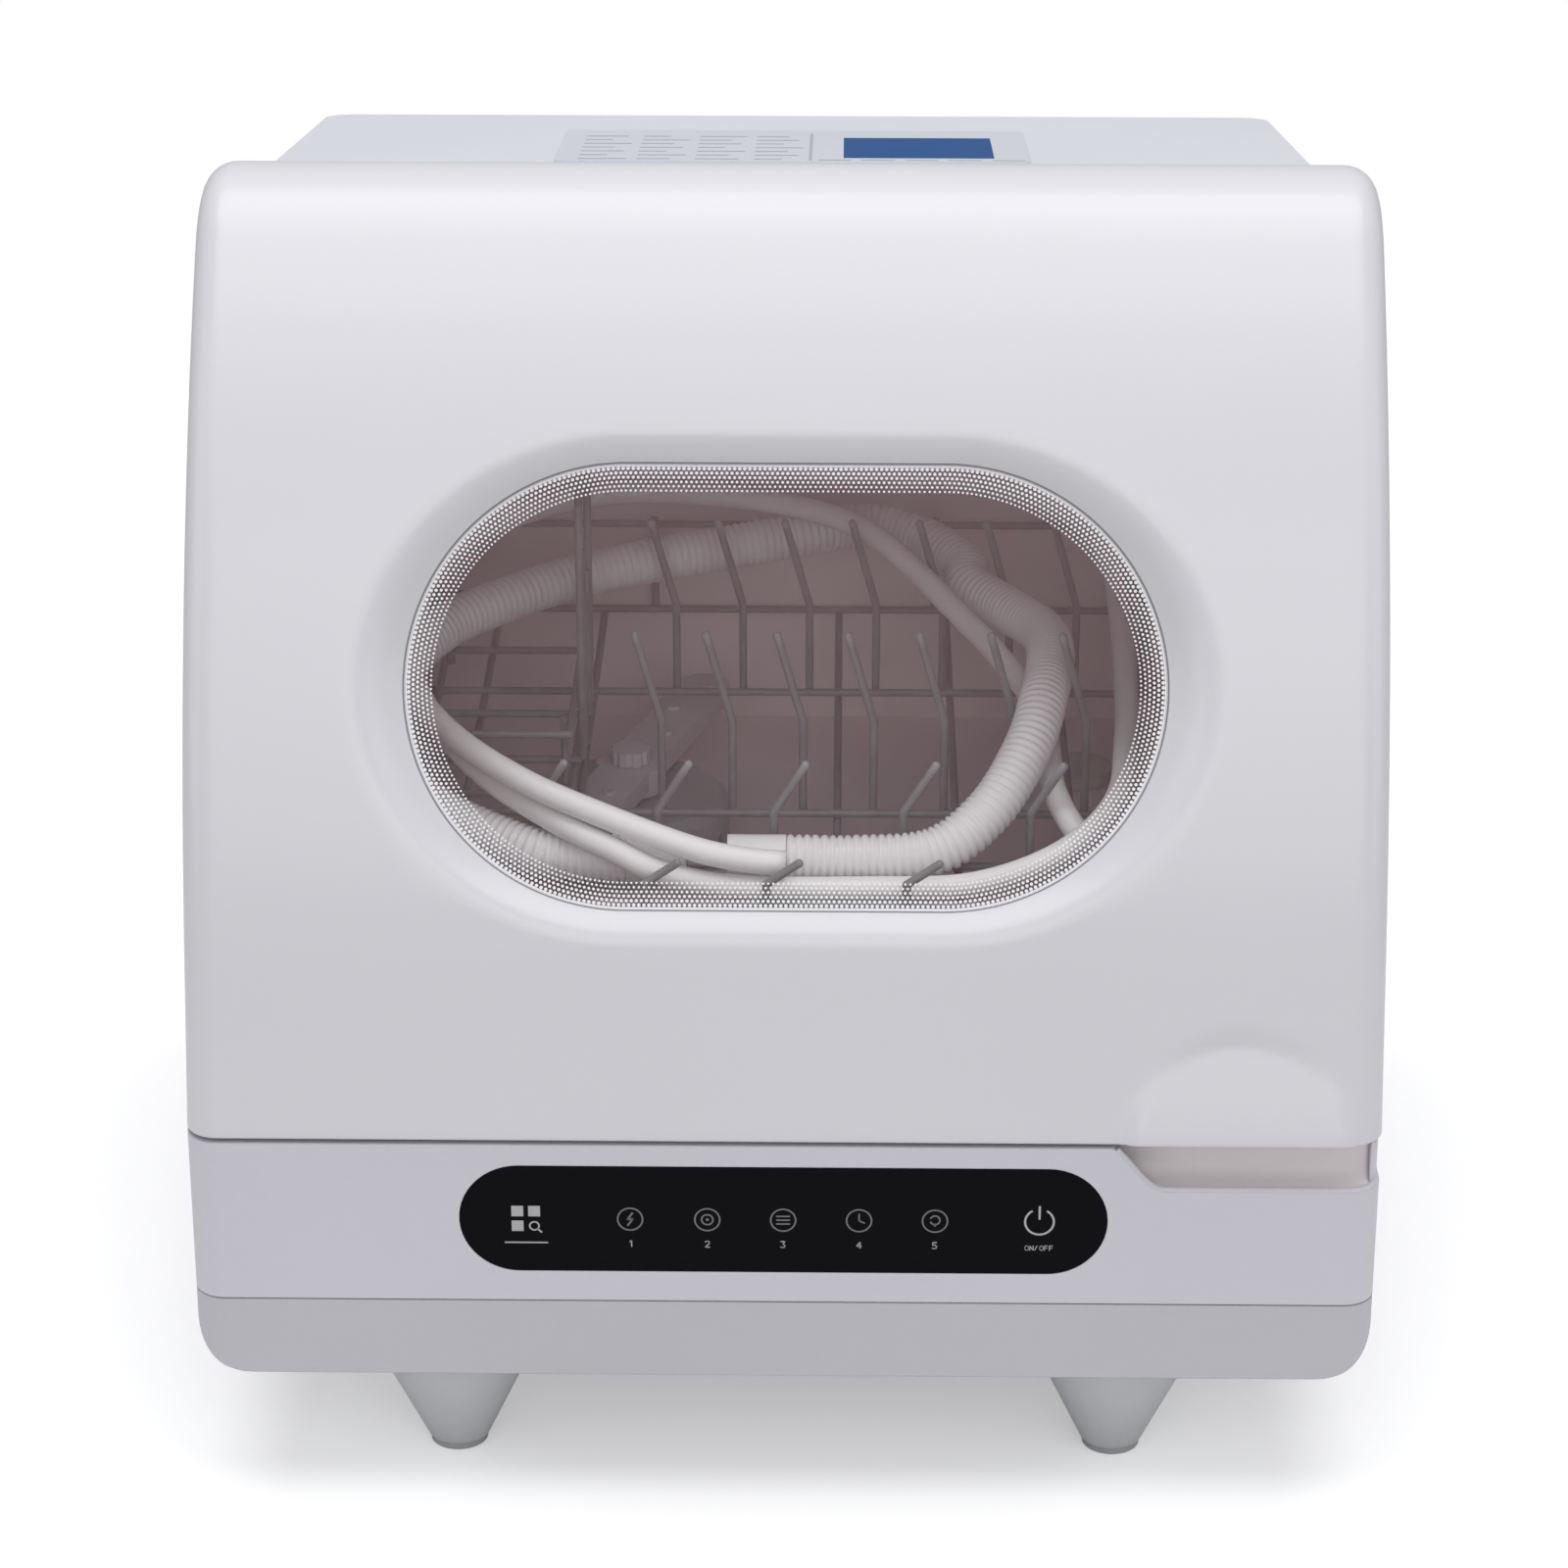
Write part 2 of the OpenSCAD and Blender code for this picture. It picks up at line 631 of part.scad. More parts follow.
// Filter cup: it hangs by its rim in the sump and twists out
module filter_cup() {
    low = sump_bottom_z + 4;
    color("gray") from_front() translate([sump_x, sump_y, 0]) {
        difference() {
            union() {
                translate([0, 0, low]) cylinder(r = cup_r, h = cup_seat_z + 1 - low, $fn = 96);
                translate([0, 0, cup_seat_z + touch_gap]) cylinder(r = sump_r - 0.4, h = 2, $fn = 96);
            }
            translate([0, 0, low + 2]) cylinder(r = cup_r - 1.5, h = 60, $fn = 96);
            for (i = [0:17], k = [0:2]) rotate([0, 0, i * slot_step])
                block([cup_r - 4, -2, low + 5 + k * 9], [cup_r + 2, 2, low + 11 + k * 9]);
        }
        // Grip bar across the cup
        block([-cup_r + 1, -1.5, cup_seat_z - 10], [cup_r - 1, 1.5, cup_seat_z + 2]);
    }
}

spindle_r = 4;

// Dome over the sump that carries the spray arm's spindle
module filter_dome() {
    color("dimgray") from_front() translate([sump_x, sump_y, 0]) difference() {
        union() {
            translate([0, 0, tub_floor_z + run_gap])
                cylinder(r = dome_r, h = dome_z - tub_floor_z - run_gap - 4, $fn = 128);
            translate([0, 0, dome_z - 4]) cylinder(r1 = dome_r, r2 = dome_r - 4, h = 4, $fn = 128);
            translate([0, 0, dome_z - 1]) cylinder(r = spindle_r + 3, h = 3, $fn = small_fn);
            translate([0, 0, dome_z - 1]) cylinder(r = spindle_r, h = spindle_top - dome_z + 1, $fn = small_fn);
        }
        translate([0, 0, tub_floor_z - 1]) cylinder(r = dome_r - 2.5, h = dome_z - tub_floor_z - 3, $fn = 128);
        translate([0, 0, dome_z - 6]) cylinder(r = spindle_r - 1.6, h = 12, $fn = small_fn);
        for (i = [0:15]) rotate([0, 0, i * 22.5])
            block([dome_r - 6, -2, tub_floor_z + 3], [dome_r + 2, 2, tub_floor_z + 14]);
    }
}

arm_l = 98;
arm_w = 22;
arm_t = 8;
spindle_top = arm_z + arm_t + 4;
arm_turn = 72;
nut_r = 8;

module spray_arm() {
    z0 = dome_z + 2 + touch_gap;
    color("slategray") from_front() translate([sump_x, sump_y, 0]) rotate([0, 0, arm_turn]) difference() {
        union() {
            translate([0, 0, z0]) cylinder(r = 14, h = arm_z + arm_t - z0, $fn = 96);
            translate([0, 0, arm_z]) linear_extrude(arm_t) stadium(2 * arm_l, arm_w);
            for (s = [-1, 1], k = [32, 58, 84]) translate([s * k, (k == 58 ? 3 : -3), arm_z + arm_t - 1])
                cylinder(r = 3, h = 2.5, $fn = 32);
        }
        translate([0, 0, z0 - 1]) cylinder(r = spindle_r + run_gap, h = 30, $fn = small_fn);
        // Water way inside the arm
        translate([0, 0, arm_z + 2]) linear_extrude(arm_t - 4) difference() {
            stadium(2 * arm_l - 5, arm_w - 5);
            circle(r = 9, $fn = small_fn);
        }
        for (s = [-1, 1], k = [32, 58, 84]) translate([s * k, (k == 58 ? 3 : -3), arm_z + 3])
            cylinder(r = 1.2, h = arm_t + 4, $fn = 32);
    }
}

module spray_nut() {
    color("slategray") from_front() translate([sump_x, sump_y, arm_z + arm_t + touch_gap]) difference() {
        cylinder(r = nut_r, h = 6, $fn = small_fn);
        translate([0, 0, -1]) cylinder(r = spindle_r + run_gap, h = 5, $fn = small_fn);
        for (i = [0:7]) rotate([0, 0, i * 45]) translate([nut_r + 0.6, 0, -1]) cylinder(r = 1.6, h = 9, $fn = 24);
    }
}

// Wash pump: its axis runs along X from the sump's right outlet
pump_x0 = sump_x + outlet_l + touch_gap;
volute_r = 25;
volute_l = 26;
wash_motor_l = 62;

module wash_pump() {
    color("dimgray") from_front() translate([pump_x0, sump_y, outlet_z]) {
        difference() {
            union() {
                rotate([0, 90, 0]) cylinder(r = volute_r, h = volute_l, $fn = 96);
                translate([volute_l / 2, 0, 0]) rotate([90, 0, 0]) cylinder(r = hose_r, h = volute_r + 12, $fn = small_fn);
                translate([volute_l + 6, 0, 0]) rotate([0, 90, 0]) cylinder(r = 22, h = wash_motor_l - 6, $fn = 96);
                translate([volute_l - 1, 0, 0]) rotate([0, 90, 0]) cylinder(r = 15, h = 8, $fn = 96);
                block([volute_l + 14, -16, -pump_drop], [volute_l + 46, 16, -15]);
            }
            translate([2, 0, 0]) rotate([0, 90, 0]) cylinder(r = volute_r - 2.5, h = volute_l - 5, $fn = 96);
            translate([-1, 0, 0]) rotate([0, 90, 0]) cylinder(r = outlet_r - 2.5, h = 5, $fn = small_fn);
            translate([volute_l / 2, 0, 0]) rotate([90, 0, 0]) cylinder(r = hose_r - 2, h = volute_r + 13, $fn = small_fn);
            translate([volute_l - 4, 0, 0]) rotate([0, 90, 0]) cylinder(r = shaft_r + run_gap, h = 30, $fn = 32);
        }
    }
}

shaft_r = 3;
pump_drop = outlet_z - tray_z - casing_t - touch_gap;

// Pump rotor: a disc with curved vanes on a shaft along X
module rotor(r, vane_h, shaft_l) {
    rotate([0, 90, 0]) {
        cylinder(r = r, h = 2, $fn = small_fn);
        translate([0, 0, 1]) cylinder(r = shaft_r, h = shaft_l, $fn = 32);
        for (i = [0:5]) rotate([0, 0, i * 60]) translate([r / 2, 0, -vane_h / 2 + 0.5])
            rotate([0, 0, 30]) cube([r * 0.8, 1.6, vane_h], center = true);
        translate([0, 0, -vane_h]) cylinder(r = shaft_r + 1.5, h = vane_h + 1, $fn = 32);
    }
}

module wash_impeller() {
    color("white") from_front() translate([pump_x0 + 15, sump_y, outlet_z]) rotor(20, 9, 28);
}

drain_x = sump_x - outlet_l - touch_gap;
drain_volute_r = 18;

module drain_pump() {
    color("dimgray") from_front() translate([drain_x, sump_y, outlet_z]) mirror([1, 0, 0]) difference() {
        union() {
            rotate([0, 90, 0]) cylinder(r = drain_volute_r, h = 20, $fn = 96);
            translate([10, 0, 0]) rotate([-90, 0, 0]) cylinder(r = hose_r, h = drain_volute_r + 12, $fn = small_fn);
            translate([19, 0, 0]) rotate([0, 90, 0]) cylinder(r = 15, h = 36, $fn = 96);
            block([26, -12, -pump_drop], [46, 12, -10]);
        }
        translate([2, 0, 0]) rotate([0, 90, 0]) cylinder(r = drain_volute_r - 2.5, h = 15, $fn = 96);
        translate([-1, 0, 0]) rotate([0, 90, 0]) cylinder(r = outlet_r - 2.5, h = 5, $fn = small_fn);
        translate([10, 0, 0]) rotate([-90, 0, 0]) cylinder(r = hose_r - 2, h = 40, $fn = small_fn);
        translate([16, 0, 0]) rotate([0, 90, 0]) cylinder(r = shaft_r + run_gap, h = 24, $fn = 32);
    }
}

module drain_rotor() {
    color("white") from_front() translate([drain_x - 11, sump_y, outlet_z]) mirror([1, 0, 0]) rotor(14, 6, 20);
}

// Flow heater between the wash pump and the sump's riser
heater_x = pump_x0 + volute_l / 2;
heater_y1 = sump_y - volute_r - 12 - touch_gap;
heater_l = 88;
heater_r = 15;

module flow_heater() {
    color("silver") from_front() translate([heater_x, heater_y1, outlet_z]) rotate([90, 0, 0]) difference() {
        union() {
            cylinder(r = hose_r, h = heater_l, $fn = small_fn);
            translate([0, 0, 8]) cylinder(r = heater_r, h = heater_l - 16, $fn = 96);
            translate([0, 0, 20]) cylinder(r = heater_r + 1.5, h = 6, $fn = 96);
            translate([0, 0, heater_l - 26]) cylinder(r = heater_r + 1.5, h = 6, $fn = 96);
            translate([-8, -outlet_z + tray_z + casing_t + touch_gap, 40]) cube([16, pump_drop - heater_r + 2, 8]);
        }
        translate([0, 0, -1]) cylinder(r = hose_r - 2, h = heater_l + 2, $fn = small_fn);
    }
}

// A bent pipe with its bore through a list of points.
module pipe(points, r, bore, rings = pipe_rings) {
    line = even_points(points, rings);
    bent_tube(line, [for (p = line) r], line, bore);
}

module pump_hose() {
    y0 = heater_y1 - heater_l - touch_gap;
    y1 = sump_y - sump_r - 10 - touch_gap;
    middle = (heater_x + sump_x) / 2;
    bend = (heater_x - sump_x) / 2;
    color("black") from_front() pipe(concat([[heater_x, y0, outlet_z]],
        [for (a = [0:30:180]) [middle + bend * cos(a), y0 - 12 - bend * sin(a), outlet_z + (riser_z - outlet_z) * a / 180]],
        [[sump_x, y0 + 4, riser_z], [sump_x, (y0 + y1) / 2, riser_z], [sump_x, y1 - 12, riser_z], [sump_x, y1, riser_z]]),
        hose_r, hose_r - 2, 20);
}

module drain_pipe() {
    y0 = sump_y + drain_volute_r + 12 + touch_gap;
    color("black") from_front() pipe([[drain_x - 10, y0, outlet_z], [drain_x - 10, y0 + 12, outlet_z],
        [drain_x - 12, back_y - 100, outlet_z - 2], [spigot_x + 3, back_y - 62, port_z + 2],
        [spigot_x, back_y - 38, port_z], [spigot_x, back_y - 22, port_z]], hose_r, hose_r - 2);
}

// Rear ports
port_z = 120;
spigot_x = -150;
inlet_x = -90;
gland_x = 150;
spigot_flange_r = 14;
inlet_body_r = 11;
gland_r = 8;
port_end = back_y + port_out;

module drain_spigot() {
    color("darkgray") from_front() translate([spigot_x, 0, port_z]) rotate([-90, 0, 0]) difference() {
        union() {
            translate([0, 0, back_y - 21.5]) cylinder(r = spigot_r, h = port_end - back_y + 21.5, $fn = small_fn);
            translate([0, 0, back_y - casing_t]) cylinder(r = spigot_flange_r, h = casing_t + 1.5, $fn = small_fn);
            translate([0, 0, back_y - 8]) cylinder(r = spigot_flange_r + 4, h = 8 - casing_t - run_gap, $fn = small_fn);
        }
        translate([0, 0, back_y - 30]) cylinder(r = spigot_r - 2.5, h = 60, $fn = small_fn);
    }
}

inlet_bore_l = 18;

module inlet_fitting() {
    color("darkgray") from_front() translate([inlet_x, 0, port_z]) rotate([-90, 0, 0]) difference() {
        union() {
            translate([0, 0, back_y - 12]) cylinder(r = inlet_body_r, h = port_end - back_y + 12, $fn = small_fn);
            translate([0, 0, back_y - 12]) cylinder(r = inlet_body_r + 4, h = 12 - casing_t - run_gap, $fn = small_fn);
        }
        translate([0, 0, port_end - inlet_bore_l]) cylinder(r = inlet_bore_r, h = inlet_bore_l + 1, $fn = small_fn);
        translate([0, 0, back_y - 20]) cylinder(r = 3, h = 40, $fn = small_fn);
    }
}

// Inlet valve with its coil, right behind the fitting
module inlet_valve() {
    y1 = back_y - 12 - touch_gap;
    color("white") from_front() difference() {
        union() {
            block([inlet_x - 14, y1 - 22, port_z - 12], [inlet_x + 14, y1, port_z + 12]);
            translate([inlet_x, y1 - 11, port_z + 11]) cylinder(r = 10, h = 22, $fn = small_fn);
            block([inlet_x - 6, y1 - 20, tray_z + casing_t + touch_gap], [inlet_x + 6, y1 - 8, port_z - 11]);
        }
        translate([inlet_x, y1 + 1, port_z]) rotate([90, 0, 0]) cylinder(r = 3, h = 30, $fn = 32);
    }
}

module inlet_pipe() {
    y1 = back_y - 12 - touch_gap - 22 - touch_gap;
    y0 = sump_y + sump_r + 10 + touch_gap;
    color("silver") from_front() pipe([[inlet_x, y1, port_z], [inlet_x, y1 - 10, port_z], [inlet_x + 4, y1 - 30, port_z + 8],
        [sump_x - 3, y0 + 30, riser_z - 4], [sump_x, y0 + 12, riser_z], [sump_x, y0, riser_z]], 6, 4);
}

module cord_gland() {
    color("black") from_front() translate([gland_x, 0, port_z]) rotate([-90, 0, 0]) difference() {
        union() {
            translate([0, 0, back_y - 10]) cylinder(r = gland_r, h = 18, $fn = small_fn);
            translate([0, 0, back_y + run_gap]) cylinder(r = gland_r + 3, h = 2.5, $fn = small_fn);
            translate([0, 0, back_y - 10]) cylinder(r = gland_r + 2, h = 7, $fn = small_fn);
        }
        translate([0, 0, back_y - 12]) cylinder(r = gland_bore_r, h = 30, $fn = small_fn);
    }
}

gland_bore_r = 3.75;

// Power board on its tray, with a heat sink, capacitors and a relay
module power_board() {
    z = tray_z + casing_t + 6 + run_gap;
    color("darkgreen") from_front() {
        block([48, 246, z], [162, 336, z + 1.6]);
        block([60, 250, z + 1.6], [84, 290, z + 20]);
        block([92, 250, z + 1.6], [112, 268, z + 16]);
        for (i = [0:2]) translate([100 + i * 18, 300, z + 1.6]) cylinder(r = 7, h = 24, $fn = 32);
        for (i = [0:4]) block([122 + i * 6, 250, z + 1.6], [124 + i * 6, 280, z + 22]);
    }
}

// Drying fan on the tub's back wall
fan_x = 100;
fan_z = 345;
duct_r = 20;
fan_r = 30;
fan_y0 = tub_back_y + tub_t + touch_gap;
fan_l = 27;

module fan_housing() {
    color("dimgray") from_front() translate([fan_x, fan_y0, fan_z]) rotate([-90, 0, 0]) difference() {
        union() {
            cylinder(r = fan_r, h = fan_l, $fn = 96);
            for (s = [-1, 1]) translate([s * fan_r, 0, 0]) cylinder(r = 5, h = 3, $fn = 32);
        }
        translate([0, 0, 3]) cylinder(r = fan_r - 2, h = fan_l, $fn = 96);
        translate([0, 0, -1]) difference() {
            cylinder(r = duct_r - 1, h = 6, $fn = 96);
            cylinder(r = 8, h = 10, $fn = 48);
            for (a = [0, 60, 120]) rotate([0, 0, a]) cube([2 * duct_r + 4, 3, 30], center = true);
        }
        translate([0, 0, 1.5]) cylinder(r = shaft_r + run_gap, h = 10, $fn = 32);
    }
}

module fan_rotor() {
    color("black") from_front() translate([fan_x, fan_y0, fan_z]) rotate([-90, 0, 0]) {
        translate([0, 0, 2]) cylinder(r = shaft_r, h = 6, $fn = 32);
        translate([0, 0, 6]) cylinder(r = 11, h = 16, $fn = small_fn);
        for (i = [0:6]) rotate([0, 0, i * 360 / 7]) translate([9, 0, 14]) rotate([40, 0, 0])
            translate([8.5, 0, 0]) cube([17, 1.6, 17], center = true);
    }
}

// Float: the disc rises with the water and its stem trips the switch below
float_x = 120;
float_y = 300;
float_hole_r = 9;
stem_r = float_hole_r - 2 * run_gap;

module float_cup() {
    z1 = tub_floor_z - spout_h - run_gap;
    color("white") from_front() translate([float_x, float_y, 0]) difference() {
        union() {
            translate([0, 0, z1 - 26]) cylinder(r = float_hole_r + 2, h = 26, $fn = small_fn);
            block([-24, -8, z1 - 26], [-9, 8, z1 - 4]);
        }
        translate([0, 0, z1 - 23]) cylinder(r = float_hole_r, h = 30, $fn = small_fn);
    }
}

module float_disc() {
    color("white") from_front() translate([float_x, float_y, 0]) {
        translate([0, 0, tub_floor_z + touch_gap]) cylinder(r = 15, h = 5, $fn = small_fn);
        translate([0, 0, tub_floor_z - 20]) cylinder(r = stem_r, h = 21, $fn = small_fn);
    }
}

// The hood's full cross-section, drawn as distance from its bend axis and place across.
module hood_full(r, margin, reach) {
    w = half_w - margin;
    c = corner_r - margin;
    translate([r - hood_t - reach, -w + c]) square([hood_t + reach - margin, 2 * (w - c)]);
    translate([r - hood_t - reach, -w]) square([hood_t + reach - margin - c, 2 * w]);
    for (s = [-1, 1]) translate([r - margin - c, s * (w - c)]) circle(r = c, $fn = small_fn);
}

module hood_walls(r) {
    difference() {
        hood_full(r, 0, 0);
        hood_full(r, skin_t, 1);
    }
}

// Turns a drawing made in the side view so that its X runs to the back and its Y up.
module side_view(y, z) {
    translate([0, y, z]) rotate([90, 0, 90]) children();
}

// The straight lower part of the hood, from the bend down past its lower edge
module hood_skirt() {
    l = hood_straight / cos(lean_low) + hood_t;
    intersection() {
        side_view(arc_y, arc_z) rotate([0, 0, 180 - lean_low]) rotate([90, 0, 0]) translate([0, 0, -l])
            linear_extrude(l) children();
        block([-half_w - 1, -50, hood_z], [half_w + 1, body_d, crease_z + hood_t]);
    }
}

ear_r = 26;
ear_t = 3;
pin_r = 5;
pull_depth = 20;

// Soft swelling over the finger pull, cut off at the hood's lower edge
module pull_swelling() {
    p = low_point(hood_z, 0);
    intersection() {
        translate([pull_x, p[0], p[1]]) rotate([90 - lean_low, 0, 0]) intersection() {
            translate([0, 0, -pull_reach]) sphere(r = pull_ball_r, $fn = 180);
            block([-pull_r - 2, -pull_r - 2, -1], [pull_r + 2, pull_r + 2, pull_rise + 1]);
        }
        block([-half_w, -50, hood_z], [half_w, 50, crease_z]);
    }
}

module hood_shell() {
    bezel_out = bezel_w + touch_gap;
    color("whitesmoke") from_front() difference() {
        union() {
            side_view(arc_y, arc_z) rotate([0, 0, 180 - lean_high])
                rotate_extrude(angle = lean_high - lean_low, $fn = big_fn) hood_walls(hood_r);
            side_view(hinge_y, hinge_z) rotate([0, 0, 90 - crown_back])
                rotate_extrude(angle = 90 - lean_high + crown_back, $fn = big_fn) hood_walls(crown_r);
            hood_skirt() hood_walls(hood_r);
            // Rib across the bend
            along_x(-half_w + skin_t - 0.5, half_w - skin_t + 0.5) polygon([low_point(crease_z - 6, skin_t - 1),
                arc_point(lean_low + 0.6, skin_t - 1), arc_point(lean_low + 0.6, skin_t + 1.5),
                low_point(crease_z - 6, skin_t + 1.5)]);
            // Lower wall
            intersection() {
                hood_skirt() hood_full(hood_r, 0, 0);
                block([-half_w, -5, hood_z], [half_w, 60, hood_z + skin_t]);
            }
            pull_swelling();
            for (s = [-1, 1]) translate([s * (half_w - ear_t / 2), hinge_y, hinge_z])
                rotate([0, 90, 0]) cylinder(r = ear_r, h = ear_t, center = true, $fn = 128);
        }
        at_window() flared_stadium(glass_w + 2 * bezel_out, glass_h + 2 * bezel_out, glass_depth, 6);
        // Finger pull open from below
        block([pull_x - pull_r + 2, skin_t + 1, hood_z - 1], [pull_x + pull_r - 2, pull_depth, hood_z + skin_t + 1]);
        for (s = [-1, 1]) translate([s * half_w, hinge_y, hinge_z])
            rotate([0, 90, 0]) cylinder(r = pin_r + run_gap, h = 4 * ear_t, center = true, $fn = small_fn);
    }
}

bezel_w = 3;
bezel_step = 1.5;

// Sloped ring that leads from the hood's skin down to the glass
module window_bezel() {
    color("white") from_front() intersection() {
        difference() {
            union() {
                at_window() flared_stadium(glass_w + 2 * bezel_w, glass_h + 2 * bezel_w, glass_depth, 6);
                at_window() translate([0, 0, -glass_depth])
                    linear_extrude(bezel_step) stadium(glass_w + 2 * bezel_w + 2, glass_h + 2 * bezel_w + 2);
            }
            at_window() flared_stadium(glass_w, glass_h, glass_depth, 7);
            at_window() translate([0, 0, -glass_depth - 1]) linear_extrude(2) stadium(glass_w, glass_h);
        }
        side_view(arc_y, arc_z) rotate([0, 0, 180 - lean_high]) rotate_extrude(angle = lean_high, $fn = big_fn)
            translate([hood_r - hood_t, -half_w]) square([hood_t, body_w]);
    }
}

glass_front = glass_depth + touch_gap;
seal_front = glass_front + glass_t + run_gap;
seal_ring_t = 2;

module window_glass() {
    color([0.45, 0.4, 0.42, 0.45]) from_front() at_window() translate([0, 0, -glass_front - glass_t])
        linear_extrude(glass_t) stadium(glass_w + 2 * glass_seat, glass_h + 2 * glass_seat);
}

module glass_seal() {
    color("black") from_front() at_window() translate([0, 0, -seal_front - seal_ring_t])
        linear_extrude(seal_ring_t) difference() {
            stadium(glass_w + 2 * glass_seat, glass_h + 2 * glass_seat);
            stadium(glass_w + 2, glass_h + 2);
        }
}

liner_half = half_w - skin_t - 0.4;
liner_top_half = 205;
liner_lean = 37;
liner_wide = 31;

// A curved slab in the hood, between two leans and two depths.
module hood_slab(low, high, near, far, half) {
    side_view(arc_y, arc_z) rotate([0, 0, 180 - high]) rotate_extrude(angle = high - low, $fn = big_fn)
        translate([hood_r - far, -half]) square([far - near, 2 * half]);
}

module hood_liner() {
    ring_front = seal_front + seal_ring_t + run_gap;
    ring_back = hood_t + 6.5;
    depth = hood_t - liner_t;
    foot = low_point(hood_z + skin_t + touch_gap, depth + 0.1);
    deep_foot = low_point(hood_z + skin_t + touch_gap, hood_t - 0.1);
    color("lightgray") from_front() difference() {
        union() {
            along_x(-liner_half + 0.1, liner_half - 0.1) polygon([foot, arc_point(lean_low + 0.5, depth + 0.1),
                arc_point(lean_low + 0.5, hood_t - 0.1), deep_foot]);
            difference() {
                hood_slab(lean_low, liner_lean, depth, hood_t, liner_half);
                for (s = [-1, 1]) translate([s * (liner_top_half + body_w / 2), 0, arc_point(liner_wide, depth)[1] + hood_t])
                    cube([body_w, body_d, 2 * hood_t], center = true);
            }
            // Wall that closes the liner below the crown
            hood_slab(liner_lean - 0.3, liner_lean, skin_t + touch_gap, hood_t - 0.5, liner_top_half);
            // Rim round the back of the glass
            at_window() translate([0, 0, -ring_back]) linear_extrude(ring_back - ring_front)
                stadium(glass_w + 2 * glass_seat, glass_h + 2 * glass_seat);
        }
        at_window() translate([0, 0, -2 * hood_t]) linear_extrude(2 * hood_t) stadium(glass_w, glass_h);
    }
}

// Magnets in the hood's lower wall that hold it closed
module hood_magnets() {
    p = low_point(hood_z, 12);
    color("silver") from_front() for (x = [-60, 60])
        translate([x, p[0], hood_z + skin_t + run_gap]) cylinder(r = 5, h = 4, $fn = small_fn);
}

// Hinge: a plate on each side of the tub with the pin that the hood turns on
hinge_plate_x = 209.5;
hinge_plate_t = 3;
hinge_foot_y = 215;
hinge_foot_z = 345;
cap_r = 37;

module hinge_bracket() {
    x1 = hinge_plate_x + hinge_plate_t;
    difference() {
        union() {
            translate([hinge_plate_x, hinge_y, hinge_z]) rotate([0, 90, 0]) cylinder(r = 18, h = hinge_plate_t, $fn = 96);
            along_x(hinge_plate_x, x1) polygon([[hinge_y - 10, hinge_z - 14], [hinge_y + 16, hinge_z + 4],
                [hinge_foot_y + 26, hinge_foot_z + 8], [hinge_foot_y + 26, hinge_foot_z - 16],
                [hinge_foot_y - 12, hinge_foot_z - 16]]);
            // Foot on the tub's side wall
            block([tub_half + tub_t + run_gap, hinge_foot_y - 12, hinge_foot_z - 16],
                [hinge_plate_x + 1, hinge_foot_y + 26, hinge_foot_z - 12]);
            block([tub_half + tub_t + run_gap, hinge_foot_y - 12, hinge_foot_z - 16],
                [tub_half + tub_t + 3, hinge_foot_y + 26, hinge_foot_z + 8]);
            translate([hinge_plate_x - 8, hinge_y, hinge_z]) rotate([0, 90, 0])
                cylinder(r = pin_r, h = half_w - 0.3 - hinge_plate_x + 8, $fn = small_fn);
        }
    }
}

module hinge_bracket_right() { color("silver") from_front() hinge_bracket(); }
module hinge_bracket_left() { color("silver") from_front() mirror([1, 0, 0]) hinge_bracket(); }

// Round caps beside the plates that hide the inside of the crown
module hinge_caps() {
    color("whitesmoke") from_front() for (s = [-1, 1])
        translate([s * (hinge_plate_x + hinge_plate_t + 2.2), hinge_y, hinge_z]) rotate([0, 90, 0]) difference() {
            cylinder(r = cap_r, h = 3.8, center = true, $fn = 128);
            cylinder(r = pin_r + run_gap, h = 8, center = true, $fn = small_fn);
        }
}

// Rotary dampers on the inner ends of the hinge pins
module hinge_dampers() {
    x1 = hinge_plate_x - touch_gap;
    color("dimgray") from_front() for (s = [-1, 1])
        translate([s * (x1 - 8), hinge_y, hinge_z]) rotate([0, 90, 0]) difference() {
            union() {
                cylinder(r = 15, h = 16, center = true, $fn = 96);
                translate([0, 20, 0]) cylinder(r = 4, h = 10, center = true, $fn = 32);
                block([-4, 0, -5], [4, 20, 5]);
            }
            translate([0, 0, s * 4.5]) cylinder(r = pin_r + run_gap, h = 9, center = true, $fn = small_fn);
        }
}

// Switch behind the tub's flange that senses the closed hood
module door_switch() {
    y = arc_point(lean_at(384, flange_gap), flange_gap + flange_t)[0] + 4;
    color("black") from_front() {
        block([150, y, tub_top_z + tub_t + run_gap], [172, y + 18, tub_top_z + 12]);
        block([158, y - 3, tub_top_z + 6], [164, y + 1, tub_top_z + 9]);
    }
}

// Rack
rack_half = rack_w / 2;
rack_front = 52;
rack_rear = tub_back_y - 7;
weld = wire_d - 0.5;
rear_first_x = -47.5;
middle_first_x = -49;
middle_last_x = 150;
rail_z = rack_z - weld;
row_z = rail_z + wire_d + run_gap;
rim_z = 258;
side_rim_z = 240;
long_xs = [-127, -82, 19, 65, 110, 150];
side_ys = [112, 220, 332];
row_end = 165;
rear_row_y = 264;
middle_row_y = 143;

